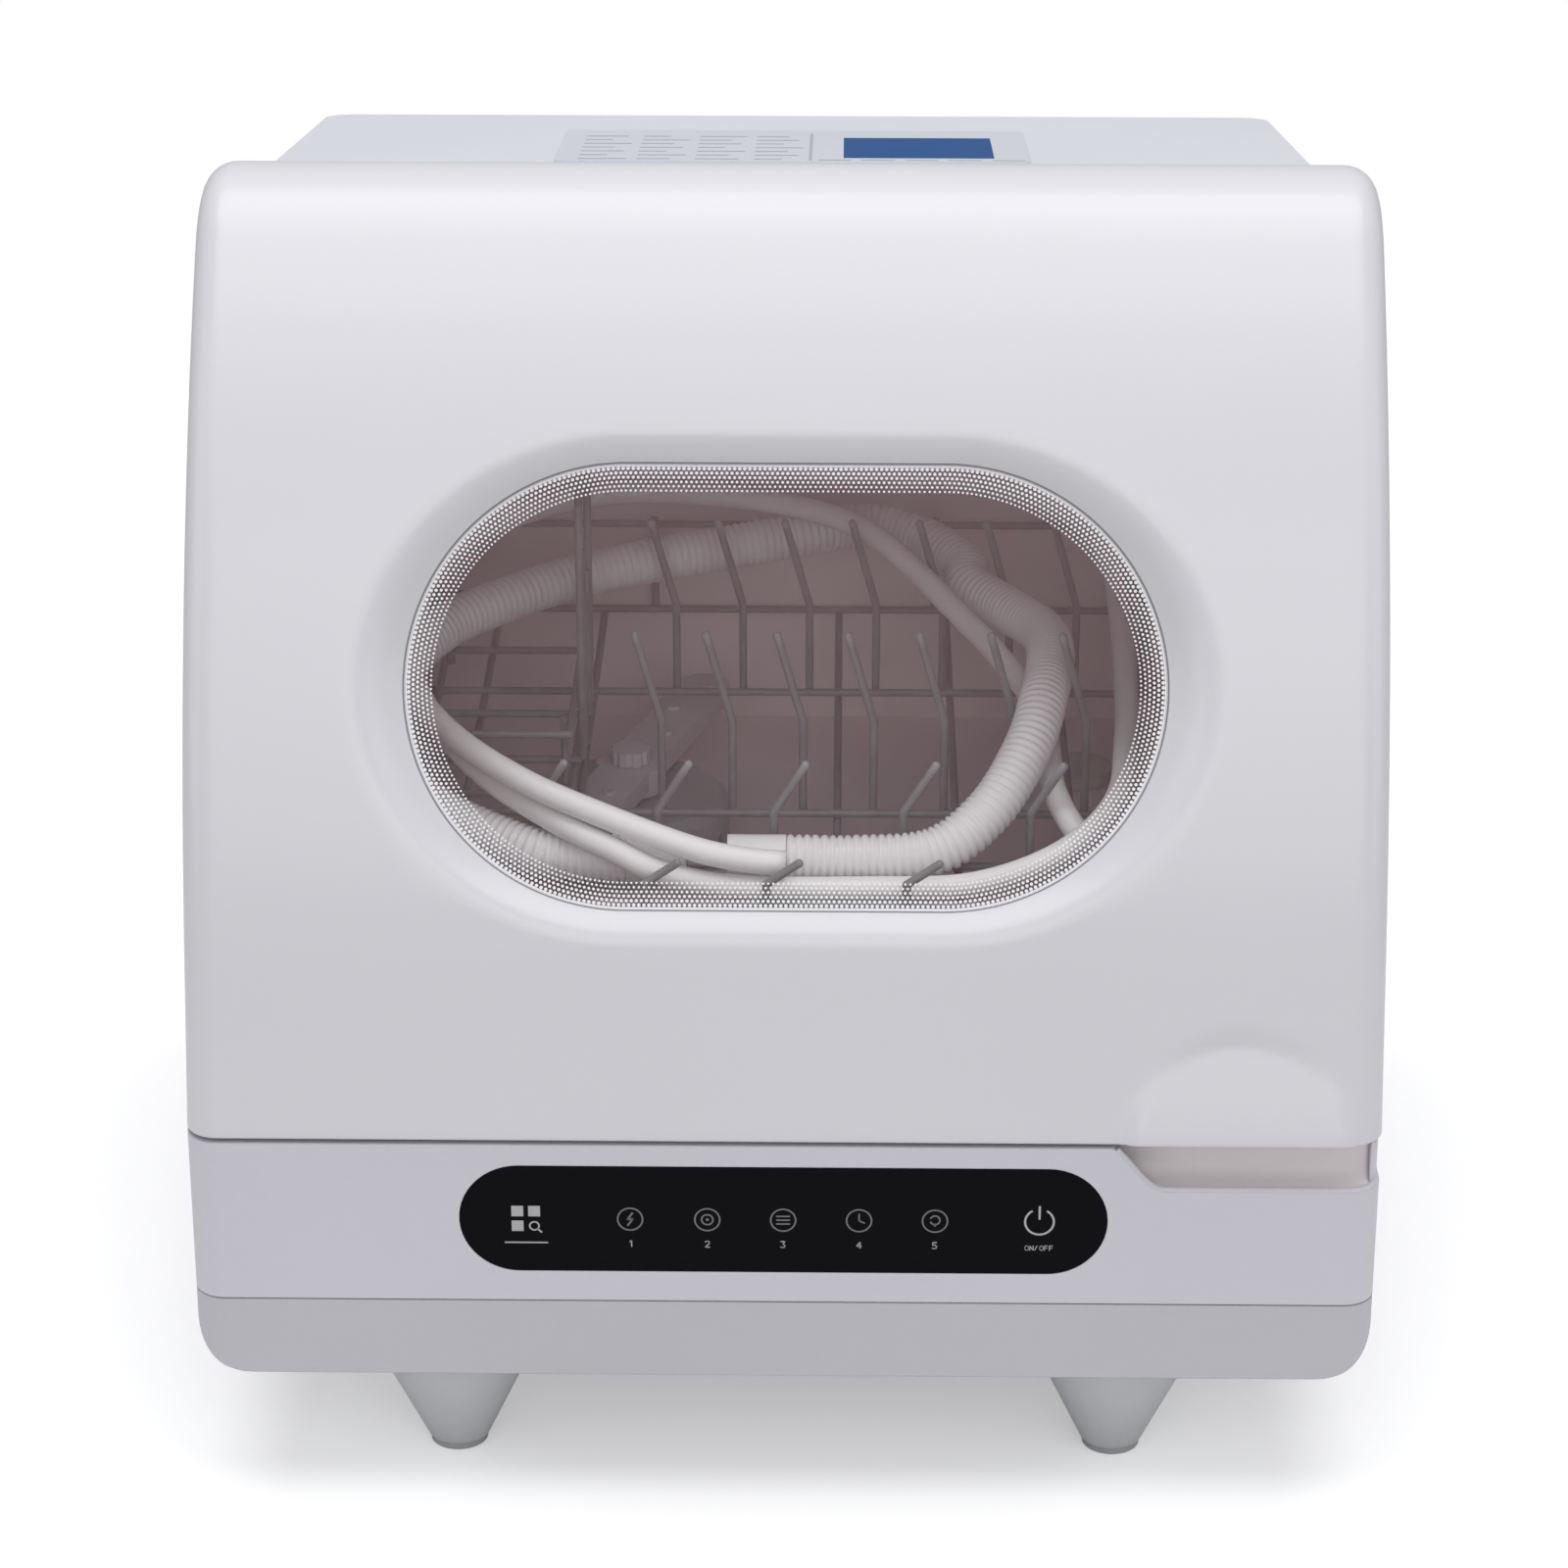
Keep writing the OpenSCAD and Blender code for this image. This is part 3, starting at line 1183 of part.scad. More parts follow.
module rack_frame() {
    x = rack_half;
    color("dimgray") from_front() {
        wire([[-x, rack_front, rack_z], [x, rack_front, rack_z], [x, rack_rear, rack_z],
            [-x, rack_rear, rack_z], [-x, rack_front, rack_z]]);
        for (lx = long_xs) rod([lx, rack_front - 2, rail_z], [lx, rack_rear + 2, rail_z], wire_d);
        rod([-row_end, rack_rear, rim_z], [row_end, rack_rear, rim_z], wire_d);
        for (px = [-155, -60, 60, 155])
            rod([px, rack_rear + weld, rack_z - 2], [px, rack_rear + weld, rim_z + 2], wire_d);
        for (s = [-1, 1]) {
            rod([s * x, side_ys[0] - 8, side_rim_z], [s * x, side_ys[2] + 8, side_rim_z], wire_d);
            for (y = side_ys)
                rod([s * (x - weld), y, rack_z - 2], [s * (x - weld), y, side_rim_z + 2], wire_d);
        }
    }
}

// One tine, bent over at half height
module tine(x, y, height, lean) {
    bend = [x, y, row_z + height / 2];
    tip = [x + lean, y, row_z + height - wire_d / 2];
    rod([x, y, row_z - wire_d / 2], bend, wire_d);
    rod(bend, tip, wire_d);
    for (p = [bend, tip]) translate(p) sphere(d = wire_d + joint_extra, $fn = 24);
}

// A row of tines that stand beside their own cross wire.
module tine_row(y, side, xs, height, lean) {
    rod([-row_end, y, row_z], [row_end, y, row_z], wire_d);
    for (x = xs) tine(x, y + side * weld, height, lean);
}

module rear_tines() {
    color("dimgray") from_front()
        tine_row(rear_row_y, 1, [for (k = [0:7]) rear_first_x + k * tine_pitch], tine_h, -10);
}

module middle_tines() {
    color("dimgray") from_front() tine_row(middle_row_y, 1,
        concat([for (k = [0:6]) middle_first_x + k * tine_pitch], [middle_last_x]), tine_h, -10);
}

module front_tines() {
    color("dimgray") from_front() {
        tine_row(95, 1, [-96, -49, -5, 44, 92], 42, 12);
        tine_row(60, -1, [-52, -7, 45], 20, 12);
    }
}

// Cutlery section with a floor, a top ring and a tall hoop
cutlery_x = [-145, -85];
cutlery_y = [153, 300];
cutlery_z = row_z + wire_d + run_gap;
cutlery_top = 248;
hoop_z = 340;

module cutlery_section() {
    x0 = cutlery_x[0];
    x1 = cutlery_x[1];
    y0 = cutlery_y[0];
    y1 = cutlery_y[1];
    hx = x1 + weld;
    color("dimgray") from_front() {
        for (z = [cutlery_z, cutlery_top])
            wire([[x0, y0, z], [x1, y0, z], [x1, y1, z], [x0, y1, z], [x0, y0, z]]);
        for (y = [180, 226]) rod([x0 - 2, y, cutlery_z + weld], [x1 + 2, y, cutlery_z + weld], wire_d);
        for (y = [y0 + 12, y1 - 12], s = [0, 1])
            rod([cutlery_x[s] + (1 - 2 * s) * weld, y, cutlery_z - 1],
                [cutlery_x[s] + (1 - 2 * s) * weld, y, cutlery_top + 2], wire_d);
        wire([[hx, 190, hoop_z - 12], [hx, 204, hoop_z], [hx, 234, hoop_z], [hx, 248, hoop_z - 12]]);
        for (p = [[190, hoop_z - 12], [248, hoop_z - 12], [204, 305], [234, 285]])
            rod([hx, p[0], cutlery_z - 1], [hx, p[0], p[1]], wire_d);
    }
}

// Shoes under the rack, held down by the runners' lips
shoe_top = rail_z - wire_d / 2 - run_gap;

module rack_glides() {
    color("gray") from_front() for (s = [0, 1]) mirror([s, 0, 0]) for (y = [62, 283]) {
        difference() {
            block([rack_half - 4, y, runner_z + run_gap], [rack_half + 4, y + 42, rack_z + 2.4]);
            // Groove that snaps round the frame's side wire
            translate([rack_half, y - 1, rack_z]) rotate([-90, 0, 0]) cylinder(d = wire_d + 0.1, h = 44, $fn = 32);
            block([rack_half - 1.2, y - 1, rack_z], [rack_half + 1.2, y + 43, rack_z + 5]);
        }
        block([rack_half + 3, y, runner_z + run_gap], [shoe_x, y + 42, runner_z + shoe_h]);
    }
}

// Evenly spaced points along a smooth curve through a list of points.
function curve_at(p, i, t) =
    let (n = len(p) - 1, a = p[max(i - 1, 0)], b = p[i], c = p[min(i + 1, n)], d = p[min(i + 2, n)])
    (b * 2 + (c - a) * t + (a * 2 - b * 5 + c * 4 - d) * t * t + (b * 3 - a - c * 3 + d) * t * t * t) / 2;
function dense(p) =
    concat([for (i = [0:len(p) - 2], j = [0:11]) curve_at(p, i, j / 12)], [p[len(p) - 1]]);
function lengths(d) =
    [for (i = 0, s = 0; i < len(d); s = s + (i + 1 < len(d) ? norm(d[i + 1] - d[i]) : 0), i = i + 1) s];
function even_points(p, count) =
    let (d = dense(p), s = lengths(d), last = s[len(s) - 1],
        tables = [for (k = [0:2]) [for (i = [0:len(d) - 1]) [s[i], d[i][k]]]])
    [for (i = [0:count]) [for (k = [0:2]) lookup(last * i / count, tables[k])]];
function unit(v) = v / norm(v);

// Points of a ring of so many sides round each place of a route.
function ring_points(route, radii, sides) =
    [for (i = [0:len(route) - 1])
        let (t = unit(route[min(i + 1, len(route) - 1)] - route[max(i - 1, 0)]),
            n = unit(cross(t, [0, 0, 1])), b = cross(n, t))
        for (k = [0:sides - 1])
            route[i] + radii[i] * (n * cos(k * 360 / sides) + b * sin(k * 360 / sides))];
function ring_faces(rings, sides, start, turned) =
    [for (i = [0:rings - 2], k = [0:sides - 1])
        let (a = start + i * sides + k, b = start + i * sides + (k + 1) % sides, c = b + sides, d = a + sides)
        turned ? [a, b, c, d] : [d, c, b, a]];

tube_sides = 8;
pipe_rings = 8;
rib_depth = 1.5;
bore_rings = 100;
tube_rings = 80;

// Routes of the two stored hoses, from the front plane of the body
drain_route = [
    [-60, 82.5, 228], [-72, 82.5, 228], [-84, 83, 228.4], [-100, 85.5, 230.5], [-138, 110, 238],
    [-157, 150, 247], [-156, 190, 256], [-140, 225, 263], [-115, 250, 266], [-90, 268, 268],
    [-60, 282, 270], [-30, 294, 271], [0, 304, 273], [28, 314, 274], [52, 306, 272], [70, 283, 269],
    [72.6, 264, 267], [86, 243, 266], [100, 212, 268], [102, 180, 270], [97.8, 143, 268],
    [91, 118, 258], [76, 94, 243], [55, 83, 231], [25, 82.5, 228], [12, 82.5, 228], [0, 82.5, 228]
];
water_route = [
    [118, 84, 226], [106, 100, 238], [101, 120, 243], [100.5, 143, 246], [99, 165, 250], [92, 190, 254],
    [80, 215, 260], [64, 240, 268], [47.8, 264, 276], [28, 285, 284], [0, 300, 288], [-35, 312, 288],
    [-75, 316, 287], [-110, 302, 284], [-135, 275, 281], [-146, 240, 279], [-150, 205, 275.5],
    [-148, 170, 268], [-134, 135, 259], [-112, 105, 250], [-84, 80, 243], [-64, 70.5, 237],
    [-45, 66.6, 229], [-15, 66.2, 223.8], [30, 66.2, 223.6], [70, 67.5, 225], [103, 73.5, 235.5],
    [124, 100, 244.5], [130, 143, 250], [132, 185, 258], [132, 225, 266], [130, 264, 274], [118, 300, 282],
    [92, 320, 287], [50, 328, 290], [0, 328, 293], [-50, 329, 293], [-100, 326, 292], [-138, 305, 290],
    [-158, 270, 288], [-163, 230, 284], [-160, 190, 280], [-149, 150, 274], [-128, 115, 265],
    [-100, 88, 258], [-70, 74.5, 250], [-35, 67, 239.5], [-14, 66.4, 235], [0, 66.4, 233.8]
];

// Least gap of a tube to itself, between points further apart along it than three diameters
function self_gap(route, d, step) =
    min([for (i = [0:len(route) - 1], j = [i + 1:1:len(route) - 1])
        (j - i) * step > 3 * d ? norm(route[i] - route[j]) - d : body_w]);
water_even = even_points(water_route, tube_rings * 4);
echo("least gap of the water tube to itself", self_gap(water_even, tube_d, norm(water_even[1] - water_even[0])));

// A tube round a route, with its bore round a route of its own.
module bent_tube(outer, radii, inner, bore) {
    n = len(outer) - 1;
    m = len(inner) - 1;
    points = concat(ring_points(outer, radii, tube_sides), ring_points(inner, [for (i = [0:m]) bore], tube_sides));
    first = (n + 1) * tube_sides;
    tail = n * tube_sides;
    inner_tail = first + m * tube_sides;
    faces = concat(
        ring_faces(n + 1, tube_sides, 0, false),
        ring_faces(m + 1, tube_sides, first, true),
        [for (k = [0:tube_sides - 1]) let (j = (k + 1) % tube_sides) [k, j, first + j, first + k]],
        [for (k = [0:tube_sides - 1]) let (j = (k + 1) % tube_sides)
            [tail + j, tail + k, inner_tail + k, inner_tail + j]]);
    polyhedron(points, faces, convexity = 10);
}

module drain_hose() {
    n = 2 * hose_ribs;
    crest = drain_hose_d / 2;
    color("silver") from_front() bent_tube(even_points(drain_route, n),
        [for (i = [0:n]) i % 2 == 1 ? crest : crest - rib_depth],
        even_points(drain_route, bore_rings), drain_bore_d / 2);
}

module water_tube() {
    route = even_points(water_route, tube_rings);
    tail = tube_rings * tube_sides;
    points = ring_points(route, [for (i = [0:tube_rings]) tube_d / 2], tube_sides);
    faces = concat(
        ring_faces(tube_rings + 1, tube_sides, 0, false),
        [[for (k = [0:tube_sides - 1]) k]],
        [[for (k = [tube_sides - 1:-1:0]) tail + k]]);
    color("white") from_front() polyhedron(points, faces, convexity = 10);
}

cuff_l = 22;

// Plain cuffs on both ends of the drain hose
module hose_cuffs() {
    first = drain_route[0];
    last = drain_route[len(drain_route) - 1];
    color("gray") from_front() {
        translate(first + [run_gap, 0, 0]) rotate([0, 90, 0]) cuff();
        translate(last - [run_gap + cuff_l, 0, 0]) rotate([0, 90, 0]) cuff();
    }
}

module cuff() {
    difference() {
        cylinder(d = drain_hose_d - 0.4, h = cuff_l, $fn = small_fn);
        translate([0, 0, -1]) cylinder(d = drain_bore_d, h = cuff_l + 2, $fn = small_fn);
    }
}

screw_places = [for (s = [-1, 1], z = [110, 240, 370]) [s * (half_w - 5.3), z]];
screw_r = 1.4;

// Screws that hold the rear panel
module casing_screws() {
    color("silver") from_front() for (p = screw_places) translate([p[0], back_y + run_gap, p[1]])
        rotate([-90, 0, 0]) difference() {
            union() {
                cylinder(r = 3.2, h = 2, $fn = 48);
                translate([0, 0, -10]) cylinder(r = screw_r, h = 11, $fn = 32);
            }
            for (a = [0, 90]) rotate([0, 0, a]) translate([0, 0, 1.8]) cube([4, 0.9, 1.6], center = true);
        }
}

base_tray();
foot_front_left();
foot_front_right();
foot_rear_left();
foot_rear_right();
foot_pads();
lower_front_panel();
touch_panel();
touch_board();
side_panel_left();
side_panel_right();
rear_panel();
top_cover();
top_plate();
tub();
tub_seal();
rack_runners();
sump();
filter_dome();
filter_cup();
spray_arm();
spray_nut();
wash_pump();
wash_impeller();
drain_pump();
drain_rotor();
flow_heater();
pump_hose();
drain_pipe();
inlet_valve();
inlet_pipe();
inlet_fitting();
drain_spigot();
power_board();
cord_gland();
fan_housing();
fan_rotor();
float_cup();
float_disc();
hinge_bracket_left();
hinge_bracket_right();
hinge_dampers();
hinge_caps();
door_switch();
hood_shell();
window_bezel();
hood_liner();
window_glass();
glass_seal();
hood_magnets();
rack_frame();
rear_tines();
middle_tines();
front_tines();
cutlery_section();
rack_glides();
drain_hose();
hose_cuffs();
water_tube();
casing_screws();
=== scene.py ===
import json
import math

import bpy
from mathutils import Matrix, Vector


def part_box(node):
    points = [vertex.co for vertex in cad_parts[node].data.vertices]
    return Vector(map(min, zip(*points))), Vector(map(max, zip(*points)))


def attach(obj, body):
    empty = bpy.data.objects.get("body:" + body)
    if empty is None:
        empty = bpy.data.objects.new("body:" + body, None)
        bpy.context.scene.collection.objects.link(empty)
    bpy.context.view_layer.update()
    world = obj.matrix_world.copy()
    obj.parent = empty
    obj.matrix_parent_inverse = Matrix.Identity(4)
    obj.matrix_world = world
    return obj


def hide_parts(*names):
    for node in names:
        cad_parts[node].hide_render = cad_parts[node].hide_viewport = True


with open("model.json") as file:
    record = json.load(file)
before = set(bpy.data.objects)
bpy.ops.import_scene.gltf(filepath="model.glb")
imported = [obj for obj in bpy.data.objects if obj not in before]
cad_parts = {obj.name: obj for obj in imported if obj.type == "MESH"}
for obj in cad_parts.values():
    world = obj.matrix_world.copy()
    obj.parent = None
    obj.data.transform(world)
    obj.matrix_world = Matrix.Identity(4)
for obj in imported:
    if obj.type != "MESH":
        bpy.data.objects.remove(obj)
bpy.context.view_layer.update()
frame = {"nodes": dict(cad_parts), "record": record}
NODES = frame["nodes"]
scene = bpy.context.scene

# Sizes that the source uses, in millimetres from the body's front plane.
FRONT_Y = -204.455
HOOD_Z = 151.5
CREASE_Z = 212.5
HOOD_R = 561.0
CROWN_R = 48.0
LEAN_LOW = 14.0
LEAN_HIGH = 42.0
CROWN_BACK = 45.0
CREASE_Y = (CREASE_Z - HOOD_Z) * math.tan(math.radians(LEAN_LOW))
ARC_Y = CREASE_Y + HOOD_R * math.cos(math.radians(LEAN_LOW))
ARC_Z = CREASE_Z - HOOD_R * math.sin(math.radians(LEAN_LOW))
HINGE_Y = ARC_Y - (HOOD_R - CROWN_R) * math.cos(math.radians(LEAN_HIGH))
HINGE_Z = ARC_Z + (HOOD_R - CROWN_R) * math.sin(math.radians(LEAN_HIGH))
GLASS_LEAN = math.degrees(math.atan2(0.4195, 0.9078))
WINDOW_Y = ARC_Y - HOOD_R * math.cos(math.radians(GLASS_LEAN))
WINDOW_Z = ARC_Z + HOOD_R * math.sin(math.radians(GLASS_LEAN))
GLASS_W = 278.0
GLASS_H = 162.0
GLASS_FRONT = -15.3
TOUCH_Z = 119.5


def at(x, y, z):
    """A point given in millimetres from the front plane, in the row frame in metres."""
    return Vector((x / 1000.0, (y + FRONT_Y) / 1000.0, z / 1000.0))


WINDOW_UP = Vector((0, math.sin(math.radians(GLASS_LEAN)), math.cos(math.radians(GLASS_LEAN))))
WINDOW_OUT = Vector((0, -math.cos(math.radians(GLASS_LEAN)), math.sin(math.radians(GLASS_LEAN))))


def on_window(u, v, n):
    """A point on the window: u across, v up the glass and n out of it, in millimetres."""
    base = at(u, WINDOW_Y, WINDOW_Z)
    return base + (WINDOW_UP * v + WINDOW_OUT * n) / 1000.0


# Camera
camera_data = bpy.data.cameras.new("camera")
camera = bpy.data.objects.new("camera", camera_data)
scene.collection.objects.link(camera)
camera_data.sensor_width = 36
camera_data.lens = 106.1
camera_data.clip_start = 0.05
camera_data.clip_end = 40
camera.location = (0.0212, -1.69626, 0.9599)
camera.rotation_euler = (math.radians(66), 0, 0.014)
scene.camera = camera
scene.view_settings.view_transform = "Standard"


# Materials
def new_group(name, ins, outs):
    """A node group with named inputs and outputs."""
    group = bpy.data.node_groups.new(name, "ShaderNodeTree")
    for label, kind, value in ins:
        s = group.interface.new_socket(name=label, in_out="INPUT", socket_type=kind)
        if value is not None:
            s.default_value = value
    for label, kind in outs:
        group.interface.new_socket(name=label, in_out="OUTPUT", socket_type=kind)
    i = group.nodes.new("NodeGroupInput")
    o = group.nodes.new("NodeGroupOutput")
    return group, i, o


def math_node(nt, op, a, b=None, clamp=False):
    """A Math node whose inputs are numbers or sockets."""
    n = nt.nodes.new("ShaderNodeMath")
    n.operation = op
    n.use_clamp = clamp
    for k, v in enumerate((a, b)):
        if v is None:
            continue
        if isinstance(v, (int, float)):
            n.inputs[k].default_value = v
        else:
            nt.links.new(v, n.inputs[k])
    return n.outputs[0]


def ramp(nt, value, low, high, to_low=0.0, to_high=1.0):
    """A value's range low to high, spread over to_low to to_high and held at its ends."""
    n = nt.nodes.new("ShaderNodeMapRange")
    n.clamp = True
    nt.links.new(value, n.inputs["Value"])
    n.inputs["From Min"].default_value = low
    n.inputs["From Max"].default_value = high
    n.inputs["To Min"].default_value = to_low
    n.inputs["To Max"].default_value = to_high
    return n.outputs["Result"]


def noise(nt, vector, scale, detail=3.0, rough=0.5):
    """Soft noise from 0 to 1."""
    n = nt.nodes.new("ShaderNodeTexNoise")
    if isinstance(scale, (int, float)):
        n.inputs["Scale"].default_value = scale
    else:
        nt.links.new(scale, n.inputs["Scale"])
    n.inputs["Detail"].default_value = detail
    n.inputs["Roughness"].default_value = rough
    nt.links.new(vector, n.inputs["Vector"])
    return n.outputs["Fac"]


def build_surface_group():
    """Colour, roughness and normal of a moulded surface: mottling, fine grain, edges lightened as wear and
    as a painted highlight, and dust.
    """
    g, i, o = new_group(
        "moulded",
        [
            ("Vector", "NodeSocketVector", None),
            ("Colour", "NodeSocketColor", (0.8, 0.8, 0.8, 1)),
            ("Wear and highlight colour", "NodeSocketColor", (0.9, 0.9, 0.9, 1)),
            ("Mottle", "NodeSocketFloat", 0.05),
            ("Grain scale", "NodeSocketFloat", 1500.0),
            ("Grain", "NodeSocketFloat", 0.05),
            ("Edge", "NodeSocketFloat", 0.2),
            ("Rough", "NodeSocketFloat", 0.4),
            ("Soft normal", "NodeSocketVector", None),
        ],
        [("Colour", "NodeSocketColor"), ("Rough", "NodeSocketFloat"), ("Normal", "NodeSocketVector")],
    )
    geometry = g.nodes.new("ShaderNodeNewGeometry")
    large = noise(g, i.outputs["Vector"], 9.0, 2.0)
    fine = noise(g, i.outputs["Vector"], 420.0, 3.0)
    mix_a = math_node(g, "MULTIPLY", math_node(g, "SUBTRACT", large, 0.5), 1.4)
    mix_b = math_node(g, "MULTIPLY", math_node(g, "SUBTRACT", fine, 0.5), 0.6)
    shade = math_node(g, "MULTIPLY", math_node(g, "ADD", mix_a, mix_b), i.outputs["Mottle"])
    factor = math_node(g, "ADD", shade, 1.0)
    tint = g.nodes.new("ShaderNodeVectorMath")
    tint.operation = "SCALE"
    g.links.new(i.outputs["Colour"], tint.inputs[0])
    g.links.new(factor, tint.inputs["Scale"])
    dot = g.nodes.new("ShaderNodeVectorMath")
    dot.operation = "DOT_PRODUCT"
    g.links.new(i.outputs["Soft normal"], dot.inputs[0])
    g.links.new(geometry.outputs["Normal"], dot.inputs[1])
    # Wear and painted highlight: where the soft normal bends away from the true one, on rounded edges, the
    # colour turns lighter, broken up by noise.
    bend = ramp(g, dot.outputs["Value"], 0.995, 0.8)
    broken = ramp(g, noise(g, i.outputs["Vector"], 160.0, 4.0), 0.35, 0.65, 0.35, 1.0)
    edge = math_node(g, "MULTIPLY", math_node(g, "MULTIPLY", bend, broken), i.outputs["Edge"])
    wear_and_highlight = g.nodes.new("ShaderNodeMix")
    wear_and_highlight.data_type = "RGBA"
    g.links.new(edge, wear_and_highlight.inputs["Factor"])
    g.links.new(tint.outputs["Vector"], wear_and_highlight.inputs["A"])
    g.links.new(i.outputs["Wear and highlight colour"], wear_and_highlight.inputs["B"])
    g.links.new(wear_and_highlight.outputs["Result"], o.inputs["Colour"])
    wiped = noise(g, i.outputs["Vector"], 26.0, 4.0)
    streak = math_node(g, "MULTIPLY", math_node(g, "SUBTRACT", wiped, 0.5), 0.08)
    g.links.new(math_node(g, "ADD", i.outputs["Rough"], streak, True), o.inputs["Rough"])
    bump = g.nodes.new("ShaderNodeBump")
    bump.inputs["Distance"].default_value = 0.0002
    g.links.new(i.outputs["Grain"], bump.inputs["Strength"])
    g.links.new(noise(g, i.outputs["Vector"], i.outputs["Grain scale"], 2.0), bump.inputs["Height"])
    g.links.new(i.outputs["Soft normal"], bump.inputs["Normal"])
    g.links.new(bump.outputs["Normal"], o.inputs["Normal"])
    return g


MOULDED = build_surface_group()


def start_material(name):
    """A material with its shader, and the object's own coordinates."""
    m = bpy.data.materials.new(name)
    m.use_nodes = True
    nt = m.node_tree
    nt.nodes.clear()
    out = nt.nodes.new("ShaderNodeOutputMaterial")
    shader = nt.nodes.new("ShaderNodeBsdfPrincipled")
    nt.links.new(shader.outputs["BSDF"], out.inputs["Surface"])
    coords = nt.nodes.new("ShaderNodeTexCoord")
    return m, nt, shader, coords.outputs["Object"]


def rgba(c):
    return (c[0], c[1], c[2], 1.0)


def lighter(c, k):
    return tuple(min(0.95, v + (1 - v) * k) for v in c)


def moulded(
    name,
    colour,
    rough=0.4,
    wear_and_highlight=None,
    mottle=0.04,
    grain=0.06,
    grain_scale=1600.0,
    edge=0.25,
    bevel=0.0006,
    specular=0.5,
    coat=0.0,
    coat_rough=0.1,
):
    """Moulded plastic, rubber or enamel, where a bevel of 0 keeps the mesh's own normals."""
    m, nt, shader, vector = start_material(name)
    g = nt.nodes.new("ShaderNodeGroup")
    g.node_tree = MOULDED
    nt.links.new(vector, g.inputs["Vector"])
    g.inputs["Colour"].default_value = rgba(colour)
    # The edge colour defaults to the colour lightened, for wear and a painted edge highlight.
    g.inputs["Wear and highlight colour"].default_value = rgba(wear_and_highlight or lighter(colour, 0.25))
    g.inputs["Mottle"].default_value = mottle
    g.inputs["Grain"].default_value = grain
    g.inputs["Grain scale"].default_value = grain_scale
    g.inputs["Edge"].default_value = edge
    g.inputs["Rough"].default_value = rough
    if bevel > 0:
        soft = nt.nodes.new("ShaderNodeBevel")
        soft.samples = 4
        soft.inputs["Radius"].default_value = bevel
    else:
        soft = nt.nodes.new("ShaderNodeNewGeometry")
    nt.links.new(soft.outputs["Normal"], g.inputs["Soft normal"])
    nt.links.new(g.outputs["Colour"], shader.inputs["Base Color"])
    nt.links.new(g.outputs["Rough"], shader.inputs["Roughness"])
    nt.links.new(g.outputs["Normal"], shader.inputs["Normal"])
    shader.inputs["Specular IOR Level"].default_value = specular
    shader.inputs["Coat Weight"].default_value = coat
    shader.inputs["Coat Roughness"].default_value = coat_rough
    return m


def brushed(name, colour, rough=0.32):
    """Steel with fine lines along one way."""
    m, nt, shader, vector = start_material(name)
    stretch = nt.nodes.new("ShaderNodeMapping")
    stretch.inputs["Scale"].default_value = (6, 900, 900)
    nt.links.new(vector, stretch.inputs["Vector"])
    lines = noise(nt, stretch.outputs["Vector"], 1.0, 3.0)
    blotch = noise(nt, vector, 40.0, 3.0)
    mix = nt.nodes.new("ShaderNodeMix")
    mix.data_type = "RGBA"
    mix.inputs["A"].default_value = rgba([c * 0.8 for c in colour])
    mix.inputs["B"].default_value = rgba(lighter(colour, 0.15))
    line_part = math_node(nt, "MULTIPLY", lines, 0.7)
    blotch_part = math_node(nt, "MULTIPLY", blotch, 0.3)
    nt.links.new(math_node(nt, "ADD", line_part, blotch_part), mix.inputs["Factor"])
    nt.links.new(mix.outputs["Result"], shader.inputs["Base Color"])
    nt.links.new(ramp(nt, lines, 0.3, 0.7, rough - 0.08, rough + 0.1), shader.inputs["Roughness"])
    bump = nt.nodes.new("ShaderNodeBump")
    bump.inputs["Distance"].default_value = 0.0001
    bump.inputs["Strength"].default_value = 0.15
    nt.links.new(lines, bump.inputs["Height"])
    nt.links.new(bump.outputs["Normal"], shader.inputs["Normal"])
    shader.inputs["Metallic"].default_value = 1.0
    return m


def circuit(name, colour):
    """A circuit board with lighter tracks."""
    m, nt, shader, vector = start_material(name)
    cell = nt.nodes.new("ShaderNodeTexBrick")
    cell.inputs["Scale"].default_value = 120.0
    cell.inputs["Mortar Size"].default_value = 0.03
    cell.inputs["Color1"].default_value = rgba(colour)
    cell.inputs["Color2"].default_value = rgba([c * 0.85 for c in colour])
    cell.inputs["Mortar"].default_value = rgba(lighter(colour, 0.18))
    turn = nt.nodes.new("ShaderNodeMapping")
    turn.inputs["Rotation"].default_value = (math.radians(90), 0, 0)
    nt.links.new(vector, turn.inputs["Vector"])
    nt.links.new(turn.outputs["Vector"], cell.inputs["Vector"])
    nt.links.new(cell.outputs["Color"], shader.inputs["Base Color"])
    nt.links.new(ramp(nt, noise(nt, vector, 300.0), 0.3, 0.7, 0.35, 0.5), shader.inputs["Roughness"])
    return m


def clear_glass(name):
    """Lightly smoked window glass with faint dust."""
    m, nt, shader, vector = start_material(name)
    dust = ramp(nt, noise(nt, vector, 60.0, 5.0, 0.6), 0.45, 0.8)
    mix = nt.nodes.new("ShaderNodeMix")
    mix.data_type = "RGBA"
    mix.inputs["A"].default_value = (0.41, 0.265, 0.28, 1)
    mix.inputs["B"].default_value = (0.45, 0.31, 0.325, 1)
    nt.links.new(dust, mix.inputs["Factor"])
    nt.links.new(mix.outputs["Result"], shader.inputs["Base Color"])
    parts = nt.nodes.new("ShaderNodeSeparateXYZ")
    nt.links.new(vector, parts.inputs[0])
    # The glass covers the inside more towards its top, its alpha going from 0.05 at the bottom to 0.13
    # higher up.
    veil_by_height = ramp(nt, parts.outputs["Z"], 0.245, 0.36, 0.05, 0.13)
    cover = math_node(nt, "ADD", veil_by_height, ramp(nt, dust, 0.0, 1.0, 0.0, 0.02))
    nt.links.new(cover, shader.inputs["Alpha"])
    nt.links.new(ramp(nt, noise(nt, vector, 25.0, 3.0), 0.3, 0.7, 0.03, 0.07), shader.inputs["Roughness"])
    shader.inputs["Specular IOR Level"].default_value = 0.25
    return m


